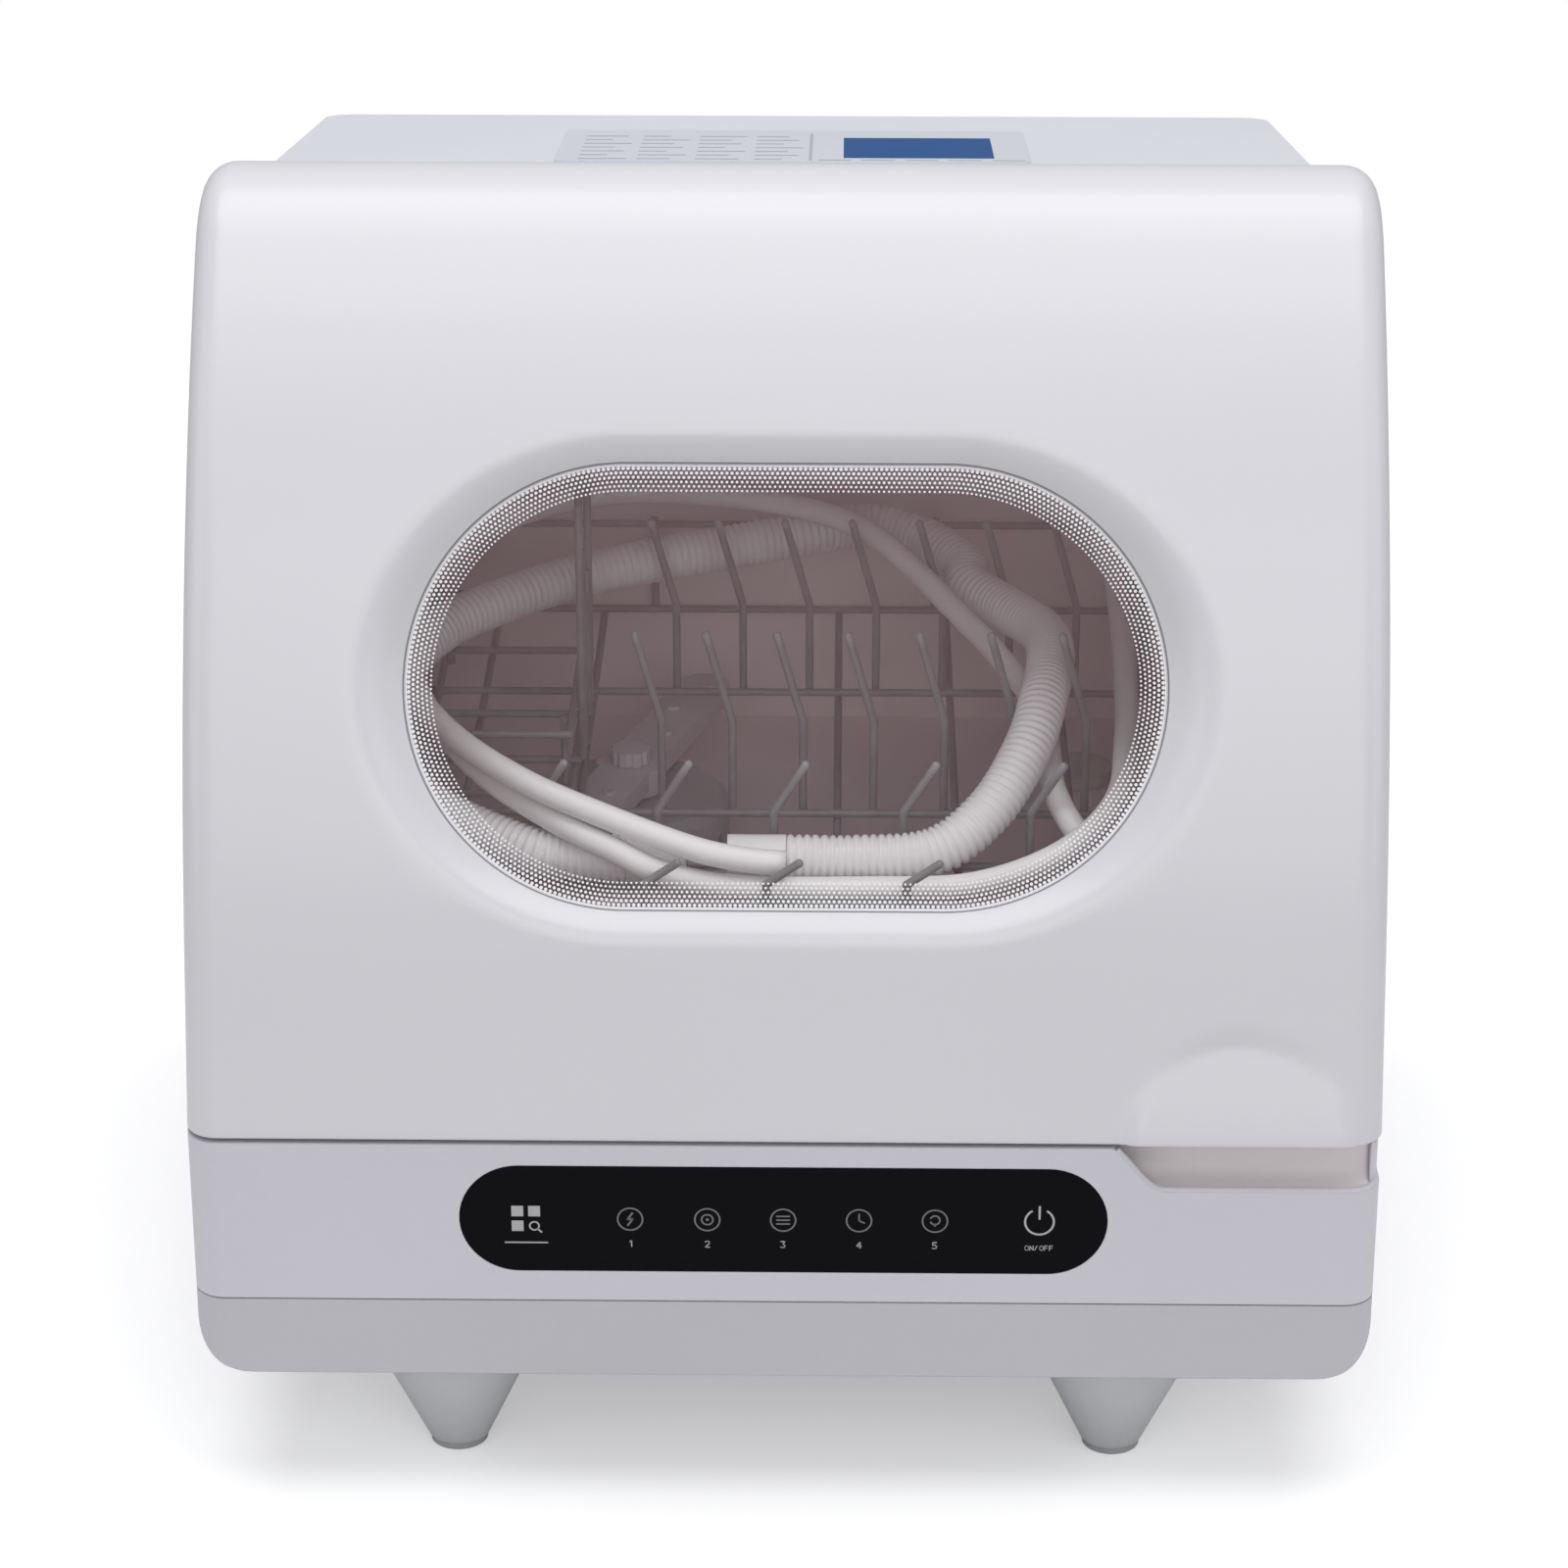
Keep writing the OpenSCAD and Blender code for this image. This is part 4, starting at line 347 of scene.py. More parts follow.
def coated_wire(name, colour, tip_colour, tip_z):
    """Coated steel wire, lighter on its ends above a height."""
    m, nt, shader, vector = start_material(name)
    parts = nt.nodes.new("ShaderNodeSeparateXYZ")
    nt.links.new(vector, parts.inputs[0])
    tip = ramp(nt, parts.outputs["Z"], tip_z - 0.004, tip_z)
    blotch = noise(nt, vector, 130.0, 4.0)
    base = nt.nodes.new("ShaderNodeMix")
    base.data_type = "RGBA"
    base.inputs["A"].default_value = rgba([c * 0.8 for c in colour])
    base.inputs["B"].default_value = rgba(lighter(colour, 0.12))
    nt.links.new(blotch, base.inputs["Factor"])
    mix = nt.nodes.new("ShaderNodeMix")
    mix.data_type = "RGBA"
    mix.inputs["B"].default_value = rgba(tip_colour)
    nt.links.new(base.outputs["Result"], mix.inputs["A"])
    nt.links.new(tip, mix.inputs["Factor"])
    nt.links.new(mix.outputs["Result"], shader.inputs["Base Color"])
    nt.links.new(ramp(nt, blotch, 0.3, 0.7, 0.28, 0.42), shader.inputs["Roughness"])
    bump = nt.nodes.new("ShaderNodeBump")
    bump.inputs["Distance"].default_value = 0.0002
    bump.inputs["Strength"].default_value = 0.12
    nt.links.new(noise(nt, vector, 900.0, 3.0), bump.inputs["Height"])
    nt.links.new(bump.outputs["Normal"], shader.inputs["Normal"])
    return m


MATS = {
    "white_plastic": moulded("white_plastic", (0.595, 0.585, 0.635), rough=0.42, grain=0.10, bevel=0.0007),
    "gloss_white": moulded("gloss_white", (0.645, 0.64, 0.675), rough=0.32, mottle=0.015, grain=0.03,
        grain_scale=700.0, coat=0.2, coat_rough=0.15, bevel=0.0, edge=0.0),
    # Painted shade: the base tray's plastic is the white plastic darkened, for the lower band that faces
    # down.
    "shaded_base_plastic": moulded("shaded_base_plastic", (0.50, 0.495, 0.53), rough=0.42, grain=0.10, bevel=0.0007),
    # Painted light: the top cover's plastic is the white plastic lightened and a little bluer, for the top
    # that faces the light.
    "lit_top_plastic": moulded("lit_top_plastic", (0.66, 0.67, 0.735), rough=0.42, grain=0.08, bevel=0.0007),
    "grey_plastic": moulded("grey_plastic", (0.50, 0.51, 0.53), rough=0.45, grain=0.15),
    "wash_grey": moulded("wash_grey", (0.70, 0.66, 0.70), rough=0.4, grain=0.1),
    "foot_tip": moulded("foot_tip", (0.36, 0.37, 0.38), rough=0.6, grain=0.2),
    "inner_plastic": moulded("inner_plastic", (0.79, 0.735, 0.745), rough=0.45, grain=0.1, bevel=0.0),
    "dark_plastic": moulded(
        "dark_plastic", (0.035, 0.035, 0.04), rough=0.55, grain=0.2, wear_and_highlight=(0.12, 0.12, 0.13)
    ),
    "light_plastic": moulded("light_plastic", (0.62, 0.62, 0.59), rough=0.42, grain=0.1),
    "tub_plastic": moulded("tub_plastic", (0.94, 0.84, 0.852), rough=0.4, grain=0.08),
    "rubber": moulded(
        "rubber", (0.03, 0.03, 0.032), rough=0.75, grain=0.3, wear_and_highlight=(0.09, 0.09, 0.09), specular=0.3
    ),
    "black_gloss": moulded("black_gloss", (0.0045, 0.0042, 0.0055), rough=0.2, grain=0.0, mottle=0.2,
        wear_and_highlight=(0.012, 0.012, 0.014), bevel=0.0003, specular=0.04),
    "board": circuit("board", (0.012, 0.09, 0.035)),
    "plate": moulded("plate", (0.60, 0.62, 0.68), rough=0.35, grain=0.03, bevel=0.0002),
    "steel": brushed("steel", (0.56, 0.56, 0.58)),
    "glass": clear_glass("glass"),
    "hose_grey": moulded("hose_grey", (0.88, 0.87, 0.88), rough=0.4, grain=0.05, bevel=0.0003, edge=0.1),
    "tube_clear": moulded("tube_clear", (0.60, 0.60, 0.58), rough=0.25, grain=0.02),
    "tube_white": moulded("tube_white", (0.90, 0.89, 0.89), rough=0.35, grain=0.03, bevel=0.0003, edge=0.05),
}
WIRE = (0.22, 0.225, 0.23)
TIP = (0.34, 0.35, 0.37)
# Nodes whose finish differs a little from that of their slot; the base tray's and the top cover's are darker
# and lighter copies of the white plastic, as painted shade and painted light
OWN_FINISH = {
    "foot_pads": "foot_tip",
    "base_tray": "shaded_base_plastic",
    "top_cover": "lit_top_plastic",
    "hose_cuffs": "hose_grey",
    "spray_arm": "wash_grey",
    "spray_nut": "wash_grey",
    "sump": "wash_grey",
}
SLOTS = {row["node"]: row["material_slot"] for row in frame["record"]["subparts"]}
for node_name, obj in NODES.items():
    slot_name = SLOTS[node_name]
    if slot_name == "wire":
        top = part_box(node_name)[1][2]
        tips = top if node_name.endswith("tines") else top + 1.0
        material = coated_wire("wire_" + node_name, WIRE, TIP, tips - 0.002)
    else:
        material = MATS[slot_name]
    obj.data.materials.clear()
    obj.data.materials.append(MATS[OWN_FINISH[node_name]] if node_name in OWN_FINISH else material)
    if node_name == "foot_pads":
        tip = obj.modifiers.new("round_tip", "BEVEL")
        tip.width = 0.0028
        tip.segments = 4
        tip.limit_method = "ANGLE"
        tip.angle_limit = math.radians(50)


def printed(name, colour, **finish):
    """A thin even print, with no lightened edges: neither wear nor a painted edge highlight."""
    values = {"rough": 0.3, "mottle": 0.03, "grain": 0.02, "bevel": 0.0001, "edge": 0.0, **finish}
    return moulded(name, colour, **values)


PRINT_WHITE = printed("print_white", (0.86, 0.86, 0.88))
PRINT_GREY = printed("print_grey", (0.40, 0.41, 0.44), rough=0.4)
PRINT_SOFT = printed("print_soft", (0.40, 0.40, 0.41))
PRINT_DIM = printed("print_dim", (0.15, 0.15, 0.155))
SEAM_GREY = printed("seam_grey", (0.22, 0.21, 0.22), rough=0.6)
PRINT_BLUE = printed("print_blue", (0.008, 0.07, 0.235), rough=0.5, mottle=0.04, specular=0.12)


def mesh_piece(name, points, faces, body, material, smooth=True):
    """A new piece that rides on a body."""
    data = bpy.data.meshes.new(name)
    data.from_pydata([tuple(p) for p in points], [], faces)
    data.update()
    data.materials.append(material)
    if smooth:
        data.shade_smooth()
    obj = bpy.data.objects.new(name, data)
    scene.collection.objects.link(obj)
    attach(obj, body)
    return obj


# Hoses: the points of their routes in millimetres, as the source has them
DRAIN_ROUTE = [[-60, 82.5, 228], [-72, 82.5, 228], [-84, 83, 228.4], [-100, 85.5, 230.5], [-138, 110, 238],
    [-157, 150, 247], [-156, 190, 256], [-140, 225, 263], [-115, 250, 266], [-90, 268, 268], [-60, 282, 270],
    [-30, 294, 271], [0, 304, 273], [28, 314, 274], [52, 306, 272], [70, 283, 269], [72.6, 264, 267],
    [86, 243, 266], [100, 212, 268], [102, 180, 270], [97.8, 143, 268], [91, 118, 258], [76, 94, 243],
    [55, 83, 231], [25, 82.5, 228], [12, 82.5, 228], [0, 82.5, 228]]
WATER_ROUTE = [[118, 84, 226], [106, 100, 238], [101, 120, 243], [100.5, 143, 246], [99, 165, 250],
    [92, 190, 254], [80, 215, 260], [64, 240, 268], [47.8, 264, 276], [28, 285, 284], [0, 300, 288],
    [-35, 312, 288], [-75, 316, 287], [-110, 302, 284], [-135, 275, 281], [-146, 240, 279],
    [-150, 205, 275.5], [-148, 170, 268], [-134, 135, 259], [-112, 105, 250], [-84, 80, 243],
    [-64, 70.5, 237], [-45, 66.6, 229], [-15, 66.2, 223.8], [30, 66.2, 223.6], [70, 67.5, 225],
    [103, 73.5, 235.5], [124, 100, 244.5], [130, 143, 250], [132, 185, 258], [132, 225, 266],
    [130, 264, 274], [118, 300, 282], [92, 320, 287], [50, 328, 290], [0, 328, 293], [-50, 329, 293],
    [-100, 326, 292], [-138, 305, 290], [-158, 270, 288], [-163, 230, 284], [-160, 190, 280],
    [-149, 150, 274], [-128, 115, 265], [-100, 88, 258], [-70, 74.5, 250], [-35, 67, 239.5],
    [-14, 66.4, 235], [0, 66.4, 233.8]]


def smooth_line(route, count):
    """The route as a smooth line, resampled evenly into count pieces."""
    between = 12
    pts = [Vector(p) for p in route]
    ext = [pts[0]] + pts + [pts[-1]]
    fine = []
    for k in range(1, len(ext) - 2):
        a, b, c, d = ext[k - 1], ext[k], ext[k + 1], ext[k + 2]
        for s in range(between):
            t = s / between
            square = (2 * a - 5 * b + 4 * c - d) * t * t
            cube = (3 * b - a - 3 * c + d) * t ** 3
            fine.append(0.5 * (2 * b + (c - a) * t + square + cube))
    fine.append(pts[-1])
    run = [0.0]
    for p, q in zip(fine, fine[1:]):
        run.append(run[-1] + (q - p).length)
    out = []
    k = 0
    for n in range(count + 1):
        want = run[-1] * n / count
        while k < len(fine) - 2 and run[k + 1] < want:
            k += 1
        f = (want - run[k]) / max(1e-9, run[k + 1] - run[k])
        p = fine[k].lerp(fine[k + 1], min(1.0, f))
        out.append(at(p.x, p.y, p.z))
    return out


def rings(line, radii, sides):
    """Rings of points round a line, without twist."""
    points = []
    ahead = (line[1] - line[0]).normalized()
    side = ahead.orthogonal().normalized()
    for k, p in enumerate(line):
        a = line[max(0, k - 1)]
        b = line[min(len(line) - 1, k + 1)]
        t = (b - a).normalized()
        side = (side - t * side.dot(t)).normalized()
        other = t.cross(side)
        for j in range(sides):
            w = 2 * math.pi * j / sides
            points.append(p + (side * math.cos(w) + other * math.sin(w)) * radii[k])
    return points


def tube(outer, radii, sides, inner=None, bore=0.0):
    """A closed tube round a line, with its bore where one is given."""
    pts = rings(outer, radii, sides)
    n = len(outer)
    faces = []
    for k in range(n - 1):
        for j in range(sides):
            i = (j + 1) % sides
            faces.append((k * sides + j, k * sides + i, (k + 1) * sides + i, (k + 1) * sides + j))
    if inner is None:
        faces.append(tuple(range(sides - 1, -1, -1)))
        faces.append(tuple((n - 1) * sides + j for j in range(sides)))
        return pts, faces
    base = len(pts)
    m = len(inner)
    pts += rings(inner, [bore] * m, sides)
    for k in range(m - 1):
        for j in range(sides):
            i = (j + 1) % sides
            near, next_ring = base + k * sides, base + (k + 1) * sides
            faces.append((near + i, near + j, next_ring + j, next_ring + i))
    for j in range(sides):
        i = (j + 1) % sides
        faces.append((i, j, base + j, base + i))
        end, inner_end = (n - 1) * sides, base + (m - 1) * sides
        faces.append((end + j, end + i, inner_end + i, inner_end + j))
    return pts, faces


RIBS = 240
RIB_WAVE = [0.0, 0.75, 1.0, 0.75]
RIB_R = 9.5
RIB_DEPTH = 1.4
HOSE_BORE = 0.007
TUBE_R = 0.00475
TUBE_BORE = 0.0033

line = smooth_line(DRAIN_ROUTE, RIBS * len(RIB_WAVE))
radii = [(RIB_R - RIB_DEPTH * (1 - RIB_WAVE[k % len(RIB_WAVE)])) / 1000.0 for k in range(len(line))]
pts, faces = tube(line, radii, 24, smooth_line(DRAIN_ROUTE, 200), HOSE_BORE)
drain_hose = mesh_piece("ribbed_hose", pts, faces, "rack", MATS["hose_grey"])
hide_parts("drain_hose")
drain_path = [tuple(p) for p in smooth_line(DRAIN_ROUTE, 300)]

line = smooth_line(WATER_ROUTE, 420)
pts, faces = tube(line, [TUBE_R] * len(line), 20, smooth_line(WATER_ROUTE, 300), TUBE_BORE)
water_tube = mesh_piece("plain_tube", pts, faces, "rack", MATS["tube_white"])
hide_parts("water_tube")
water_path = [tuple(p) for p in smooth_line(WATER_ROUTE, 400)]


# The hood's outer skin as one smooth moulding, with soft edges, a soft window recess and a swelling pull.
# The window lies in a rectangle of its own, whose rays run from the glass's outline to the skin's grid.
RECT_U = 173.0
RECT_LOW = 104.0
RECT_HIGH = 112.0
SKIN_SIDE = 208.0
SKIN_CORNER = 12.0
SKIN_DEEP = 24.0
EDGE_ROUND = 1.7
LEVEL_RUN = 30.0
PULL_X = 167.0
PULL_R = 43.5
PULL_RISE = 3.0
PULL_DROP = 5.4
PULL_CURVE = 1.3
PULL_EDGE = 0.12
GLASS_STEP = 0.12
RECESS_SOFT = 7.5
RAY_REACH = 34.0
RAY_STEPS = [0.0, 0.4, 1.0, 2.0, 3.5, 5.0, 6.5, 8.0, 9.5, 11.0, 12.5, 14.0, 15.5, 17.0, 18.5, 20.0,
    22.0, 24.0, 26.5, 29.0, 31.5]
STRETCH_FROM = 12


def soft_min(a, b, k):
    """The smaller of two values, with a soft change between them over k."""
    h = max(0.0, min(1.0, 0.5 + 0.5 * (b - a) / k))
    return b + (a - b) * h - k * h * (1 - h)


def spread(a, b, steps):
    """Even values from a to b."""
    return [a + (b - a) * k / steps for k in range(steps + 1)]


def profile_rows():
    """Rows of the side profile, from the lower edge to the back of the crown.

    Each is its place (y, z), the way out of the surface, how far the edge is rounded in there, and how far
    up from the lower edge it lies, which only the straight lower part needs.
    """
    rows = []
    beyond_pull = 200.0
    low = math.radians(LEAN_LOW)
    for k in range(5):
        t = k / 4.0
        lift = EDGE_ROUND * t * t
        inset = EDGE_ROUND * (1 - t) * (1 - t)
        rows.append((lift * math.tan(low), HOOD_Z + lift, -math.cos(low), math.sin(low), inset, lift))
    for z in spread(HOOD_Z + EDGE_ROUND, CREASE_Z, 20)[1:]:
        up = z - HOOD_Z
        rows.append((up * math.tan(low), z, -math.cos(low), math.sin(low), 0.0, up / math.cos(low)))
    lean_a = GLASS_LEAN - math.degrees(math.asin(RECT_LOW / HOOD_R))
    lean_b = GLASS_LEAN + math.degrees(math.asin(RECT_HIGH / HOOD_R))
    first = len(rows)
    leans = [lean_a]
    for v in spread(-RECT_LOW, RECT_HIGH, 72)[1:]:
        leans.append(GLASS_LEAN + math.degrees(math.asin(v / HOOD_R)))
    last = first + len(leans) - 1
    leans += spread(lean_b, LEAN_HIGH, 18)[1:]
    for a in leans:
        c, s = math.cos(math.radians(a)), math.sin(math.radians(a))
        rows.append((ARC_Y - HOOD_R * c, ARC_Z + HOOD_R * s, -c, s, 0.0, beyond_pull))
    for a in spread(LEAN_HIGH, 180 - CROWN_BACK, 32)[1:]:
        c, s = math.cos(math.radians(a)), math.sin(math.radians(a))
        rows.append((HINGE_Y - CROWN_R * c, HINGE_Z + CROWN_R * s, -c, s, 0.0, beyond_pull))
    return rows, first, last


def profile_columns():
    """Columns across the hood: (x, depth, how x and depth shrink with an inset)."""
    half = [(220.0, d, 1.0, 0.0) for d in (SKIN_DEEP, 18.0, 14.5, SKIN_CORNER)]
    for k in range(1, 9):
        c, s = math.cos(math.radians(90 - 90 * k / 8.0)), math.sin(math.radians(90 - 90 * k / 8.0))
        half.append((SKIN_SIDE + SKIN_CORNER * s, SKIN_CORNER * (1 - c), s, c))
    side = spread(SKIN_SIDE, RECT_U, 12)[1:]
    half += [(x, 0.0, 0.0, 1.0) for x in side]
    cols = [(-x, d, -p, q) for x, d, p, q in half]
    first = len(cols) - 1
    cols += [(x, 0.0, 0.0, 1.0) for x in spread(-RECT_U, RECT_U, 116)[1:-1]]
    last = len(cols)
    cols += half[::-1]
    return cols, first, last


def pull_swelling(x, run):
    """How far the skin stands out over the finger pull."""
    if run > PULL_R:
        return 0.0
    inside = max(0.0, min(1.0, (1.0 - math.hypot(x - PULL_X, run) / PULL_R) / PULL_EDGE))
    inside = inside * inside * (3 - 2 * inside)
    return inside * (PULL_RISE - PULL_DROP * (run / PULL_R) ** PULL_CURVE)


def build_skin():
    """The skin's grid with a hole for the window, and the rays that fill it down to the glass."""
    rows, r0, r1 = profile_rows()
    cols, c0, c1 = profile_columns()
    pts = []
    for y, z, ny, nz, inset, run in rows:
        # The side walls keep a level lower edge, clear of the panel below
        level = min(1.0, run / LEVEL_RUN)
        for x, d, px, pd in cols:
            swell = pull_swelling(x, run)
            back = inset * pd
            pts.append(at(x - inset * px, y - ny * (d - swell) + back, z - nz * (d * level - swell)))
    wide = len(cols)
    faces = []
    for i in range(len(rows) - 1):
        for j in range(wide - 1):
            if r0 <= i < r1 and c0 <= j < c1:
                continue
            faces.append((i * wide + j, i * wide + j + 1, (i + 1) * wide + j + 1, (i + 1) * wide + j))
    rim = [(r0, j) for j in range(c0, c1)] + [(i, c1) for i in range(r0, r1)]
    rim += [(r1, j) for j in range(c1, c0, -1)] + [(i, c0) for i in range(r1, r0, -1)]
    straight = (GLASS_W - GLASS_H) / 2
    lean_cos, lean_sin = math.cos(math.radians(GLASS_LEAN)), math.sin(math.radians(GLASS_LEAN))
    grid = []
    for i, j in rim:
        y, z = rows[i][0], rows[i][1]
        u = cols[j][0]
        v = (y - WINDOW_Y) * lean_sin + (z - WINDOW_Z) * lean_cos
        cu = max(-straight, min(straight, u))
        far = math.hypot(u - cu, v)
        du, dv = (u - cu) / far, v / far
        reach = far - GLASS_H / 2
        scale = min(1.0, reach / RAY_REACH)
        extra = max(0.0, reach - RAY_REACH)
        ray = []
        for k, b in enumerate(RAY_STEPS):
            e = b * scale + extra * max(0.0, (k - STRETCH_FROM) / (len(RAY_STEPS) - STRETCH_FROM))
            pu, pv = cu + du * (GLASS_H / 2 + e), dv * (GLASS_H / 2 + e)
            skin = math.sqrt(HOOD_R * HOOD_R - pv * pv) - HOOD_R
            wall = GLASS_FRONT + GLASS_STEP + e
            n = soft_min(skin, wall, RECESS_SOFT)
            ray.append(len(pts))
            pts.append(on_window(pu, pv, n))
        ray.append(i * wide + j)
        grid.append(ray)
    for k in range(len(grid)):
        a, b = grid[k], grid[(k + 1) % len(grid)]
        for m in range(len(a) - 1):
            faces.append((a[m], b[m], b[m + 1], a[m + 1])[::-1])
    skin = mesh_piece("hood_skin", pts, faces, "hood", MATS["gloss_white"])
    middle = skin.data.polygons[len(rows) // 2].normal
    if middle.y > 0:
        skin.data.flip_normals()
    solid = skin.modifiers.new("wall", "SOLIDIFY")
    solid.thickness = 0.0022
    solid.offset = -1
    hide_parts("hood_shell", "window_bezel")


build_skin()


def corner_arc(r, turns, z=None):
    """Points round the hood's right front corner, at the distance r from the corner's centre."""
    arc = []
    for w in turns:
        x = SKIN_SIDE + r * math.sin(math.radians(w))
        y = SKIN_CORNER - r * math.cos(math.radians(w))
        arc.append((x, y) if z is None else at(x, y, z))
    return arc


def soften(piece, width, segments):
    """Round a piece's edges."""
    edge = piece.modifiers.new("soft_edges", "BEVEL")
    edge.width = width
    edge.segments = segments
    edge.limit_method = "ANGLE"


def slab(pts, faces, outline, z0, z1):
    """A flat slab with the outline seen from above, anticlockwise."""
    base, n = len(pts), len(outline)
    pts += [at(x, y, z) for z in (z0, z1) for x, y in outline]
    faces.append(tuple(base + k for k in range(n - 1, -1, -1)))
    faces.append(tuple(base + n + k for k in range(n)))
    for k in range(n):
        j = (k + 1) % n
        faces.append((base + k, base + j, base + n + j, base + n + k))


def build_lower_wall():
    """The hood's lower wall with its opening behind the pull, and the discs that the hood turns on."""
    pts, faces = [], []
    z0, z1 = HOOD_Z + 0.3, HOOD_Z + 3.0
    x0, x1 = PULL_X - 39.0, PULL_X + 39.0
    front, hole_front, hole_rear, rear = 2.2, 4.0, 20.0, 24.5
    r = SKIN_CORNER - front
    corner = corner_arc(r, range(0, 91, 10))
    slab(pts, faces, [(x1, front)] + corner + [(SKIN_SIDE + r, rear), (x1, rear)], z0, z1)
    left = [(-x0, rear), (SKIN_SIDE + r, rear)] + corner[::-1] + [(-x0, front)]
    slab(pts, faces, [(-x, y) for x, y in left], z0, z1)
    slab(pts, faces, [(x0, front), (x1, front), (x1, hole_front), (x0, hole_front)], z0, z1)
    slab(pts, faces, [(x0, hole_rear), (x1, hole_rear), (x1, rear), (x0, rear)], z0, z1)
    steps = 56
    disc = ((216.6, 5.1), (216.6, 25.2), (217.6, 26.0), (219.0, 26.0), (219.9, 25.2), (219.9, 5.1))
    for side in (-1, 1):
        base = len(pts)
        for x, r in disc:
            for k in range(steps):
                w = 2 * math.pi * k / steps
                pts.append(at(side * x, HINGE_Y + r * math.cos(w), HINGE_Z + r * math.sin(w)))
        for m in range(len(disc)):
            for k in range(steps):
                j = (k + 1) % steps
                a, b = base + m * steps, base + ((m + 1) % len(disc)) * steps
                f = (a + k, a + j, b + j, b + k)
                faces.append(f if side > 0 else f[::-1])
    white = MATS["gloss_white"]
    soften(mesh_piece("hood_inner_walls", pts, faces, "hood", white, smooth=False), 0.0005, 2)


build_lower_wall()


def build_notch_lip():
    """The rounded lip of the finger notch, and the closed end of its ledge."""
    x0, x1, low, top = 116.0, 140.0, 132.5, 150.0
    lip_y, lip_drop, lip_r, steps = 1.6, 0.3, 0.00155, 40
    path = []
    for k in range(steps, -1, -1):
        z = low + (top - low + 2) * (1 - math.cos(math.pi * k / steps)) / 2
        if z < top - 0.6:
            path.append(at(x1 - (x1 - x0) * k / steps, lip_y, z - lip_drop))
    path += [at(x, lip_y, low - lip_drop) for x in spread(x1, SKIN_SIDE, 30)[1:]]
    r = SKIN_CORNER - lip_y
    path += corner_arc(r, range(9, 91, 9), low - lip_drop)
    path += [at(SKIN_SIDE + r, y, low - lip_drop) for y in (16.0, 20.0, 25.0)]
    pts, faces = tube(path, [lip_r] * len(path), 20)
    white = MATS["white_plastic"]
    mesh_piece("notch_lip", pts, faces, "cabinet", white)
    pts, faces = [], []
    outline = [(215.8, 7.0), (218.2, 9.5), (219.0, 13.0), (219.2, 25.8), (215.8, 25.8)]
    slab(pts, faces, outline, low + 0.2, top - 0.3)
    soften(mesh_piece("notch_end", pts, faces, "cabinet", white, smooth=False), 0.0006, 3)


build_notch_lip()


def build_painted_light_ledge():
    """The inner face of the finger notch: an upright back that curves into a short floor. Its lighter inner
    plastic is painted light, for the upward-facing cove that catches light.
    """
    back, low, cove = 11.85, 132.65, 8.0
    profile = [(back, z) for z in spread(149.8, low + cove, 6)]
    for w in range(6, 91, 6):
        a = math.radians(w)
        profile.append((back - cove + cove * math.cos(a), low + cove - cove * math.sin(a)))
    profile.append((2.4, low))
    xs = spread(114.6, 215.7, 60)
    pts = [at(x, y, z) for y, z in profile for x in xs]
    n = len(xs)
    faces = []
    for i in range(len(profile) - 1):
        for j in range(n - 1):
            faces.append((i * n + j, (i + 1) * n + j, (i + 1) * n + j + 1, i * n + j + 1))
    # Painted light: the ledge takes the lighter inner plastic instead of the panel's white, so that the cove
    # shows lit.
    ledge = mesh_piece("notch_ledge_painted_light", pts, faces, "cabinet", MATS["inner_plastic"])
    solid = ledge.modifiers.new("wall", "SOLIDIFY")
    solid.thickness = 0.0001
    solid.offset = 1


build_painted_light_ledge()


# Window print: a white edge that breaks up into rows of dots towards the middle
def stadium_point(s, grow):
    """A point of the window's outline at a distance s along it, moved out by grow, in millimetres."""
    r = GLASS_H / 2.0
    straight = GLASS_W - GLASS_H
    bend = math.pi * r
    total = 2 * straight + 2 * bend
    s = s % total
    half = straight / 2.0
    if s < straight:
        return (-half + s, r + grow)
    s -= straight
    if s < bend:
        w = s / r
        return (half + (r + grow) * math.sin(w), (r + grow) * math.cos(w))
    s -= bend
    if s < straight:
        return (half - s, -r - grow)
    s -= straight
    w = s / r
    return (-half - (r + grow) * math.sin(w), -(r + grow) * math.cos(w))


OUTLINE = 2 * (GLASS_W - GLASS_H) + math.pi * GLASS_H
OUTLINE_STEPS = 360


def outline_band(outer, inner, lift):
    """A band round the glass between two outlines, where lift gives its height at each."""
    pts, faces = [], []
    for k in range(OUTLINE_STEPS):
        for grow in (outer, inner):
            u, v = stadium_point(OUTLINE * k / OUTLINE_STEPS, grow)
            pts.append(on_window(u, v, lift(grow)))
    for k in range(OUTLINE_STEPS):
        j = (k + 1) % OUTLINE_STEPS
        faces.append((2 * k, 2 * k + 1, 2 * j + 1, 2 * j))
    return pts, faces


def dot_border():
    """A thin white edge and rows of round dots that get smaller inwards."""
    print_face = GLASS_FRONT + 0.06
    pitch, rows, dot_sides = 1.85, 6, 10
    first_inset, row_gap = 1.2, 1.62
    first_r, shrink = 0.67, 0.05
    pts, faces = outline_band(0.1, -0.5, lambda grow: print_face)
    count = int(round(OUTLINE / pitch / 2)) * 2
    for row in range(rows):
        r = first_r - shrink * row
        for k in range(count):
            s = OUTLINE * (k + 0.5 * (row % 2)) / count
            u, v = stadium_point(s, -first_inset - row_gap * row)
            base = len(pts)
            for j in range(dot_sides):
                w = 2 * math.pi * j / dot_sides
                pts.append(on_window(u + r * math.cos(w), v + r * math.sin(w), print_face))
            faces.append(tuple(base + j for j in range(dot_sides)))
    mesh_piece("window_print", pts, faces, "hood", PRINT_WHITE, smooth=False)


dot_border()


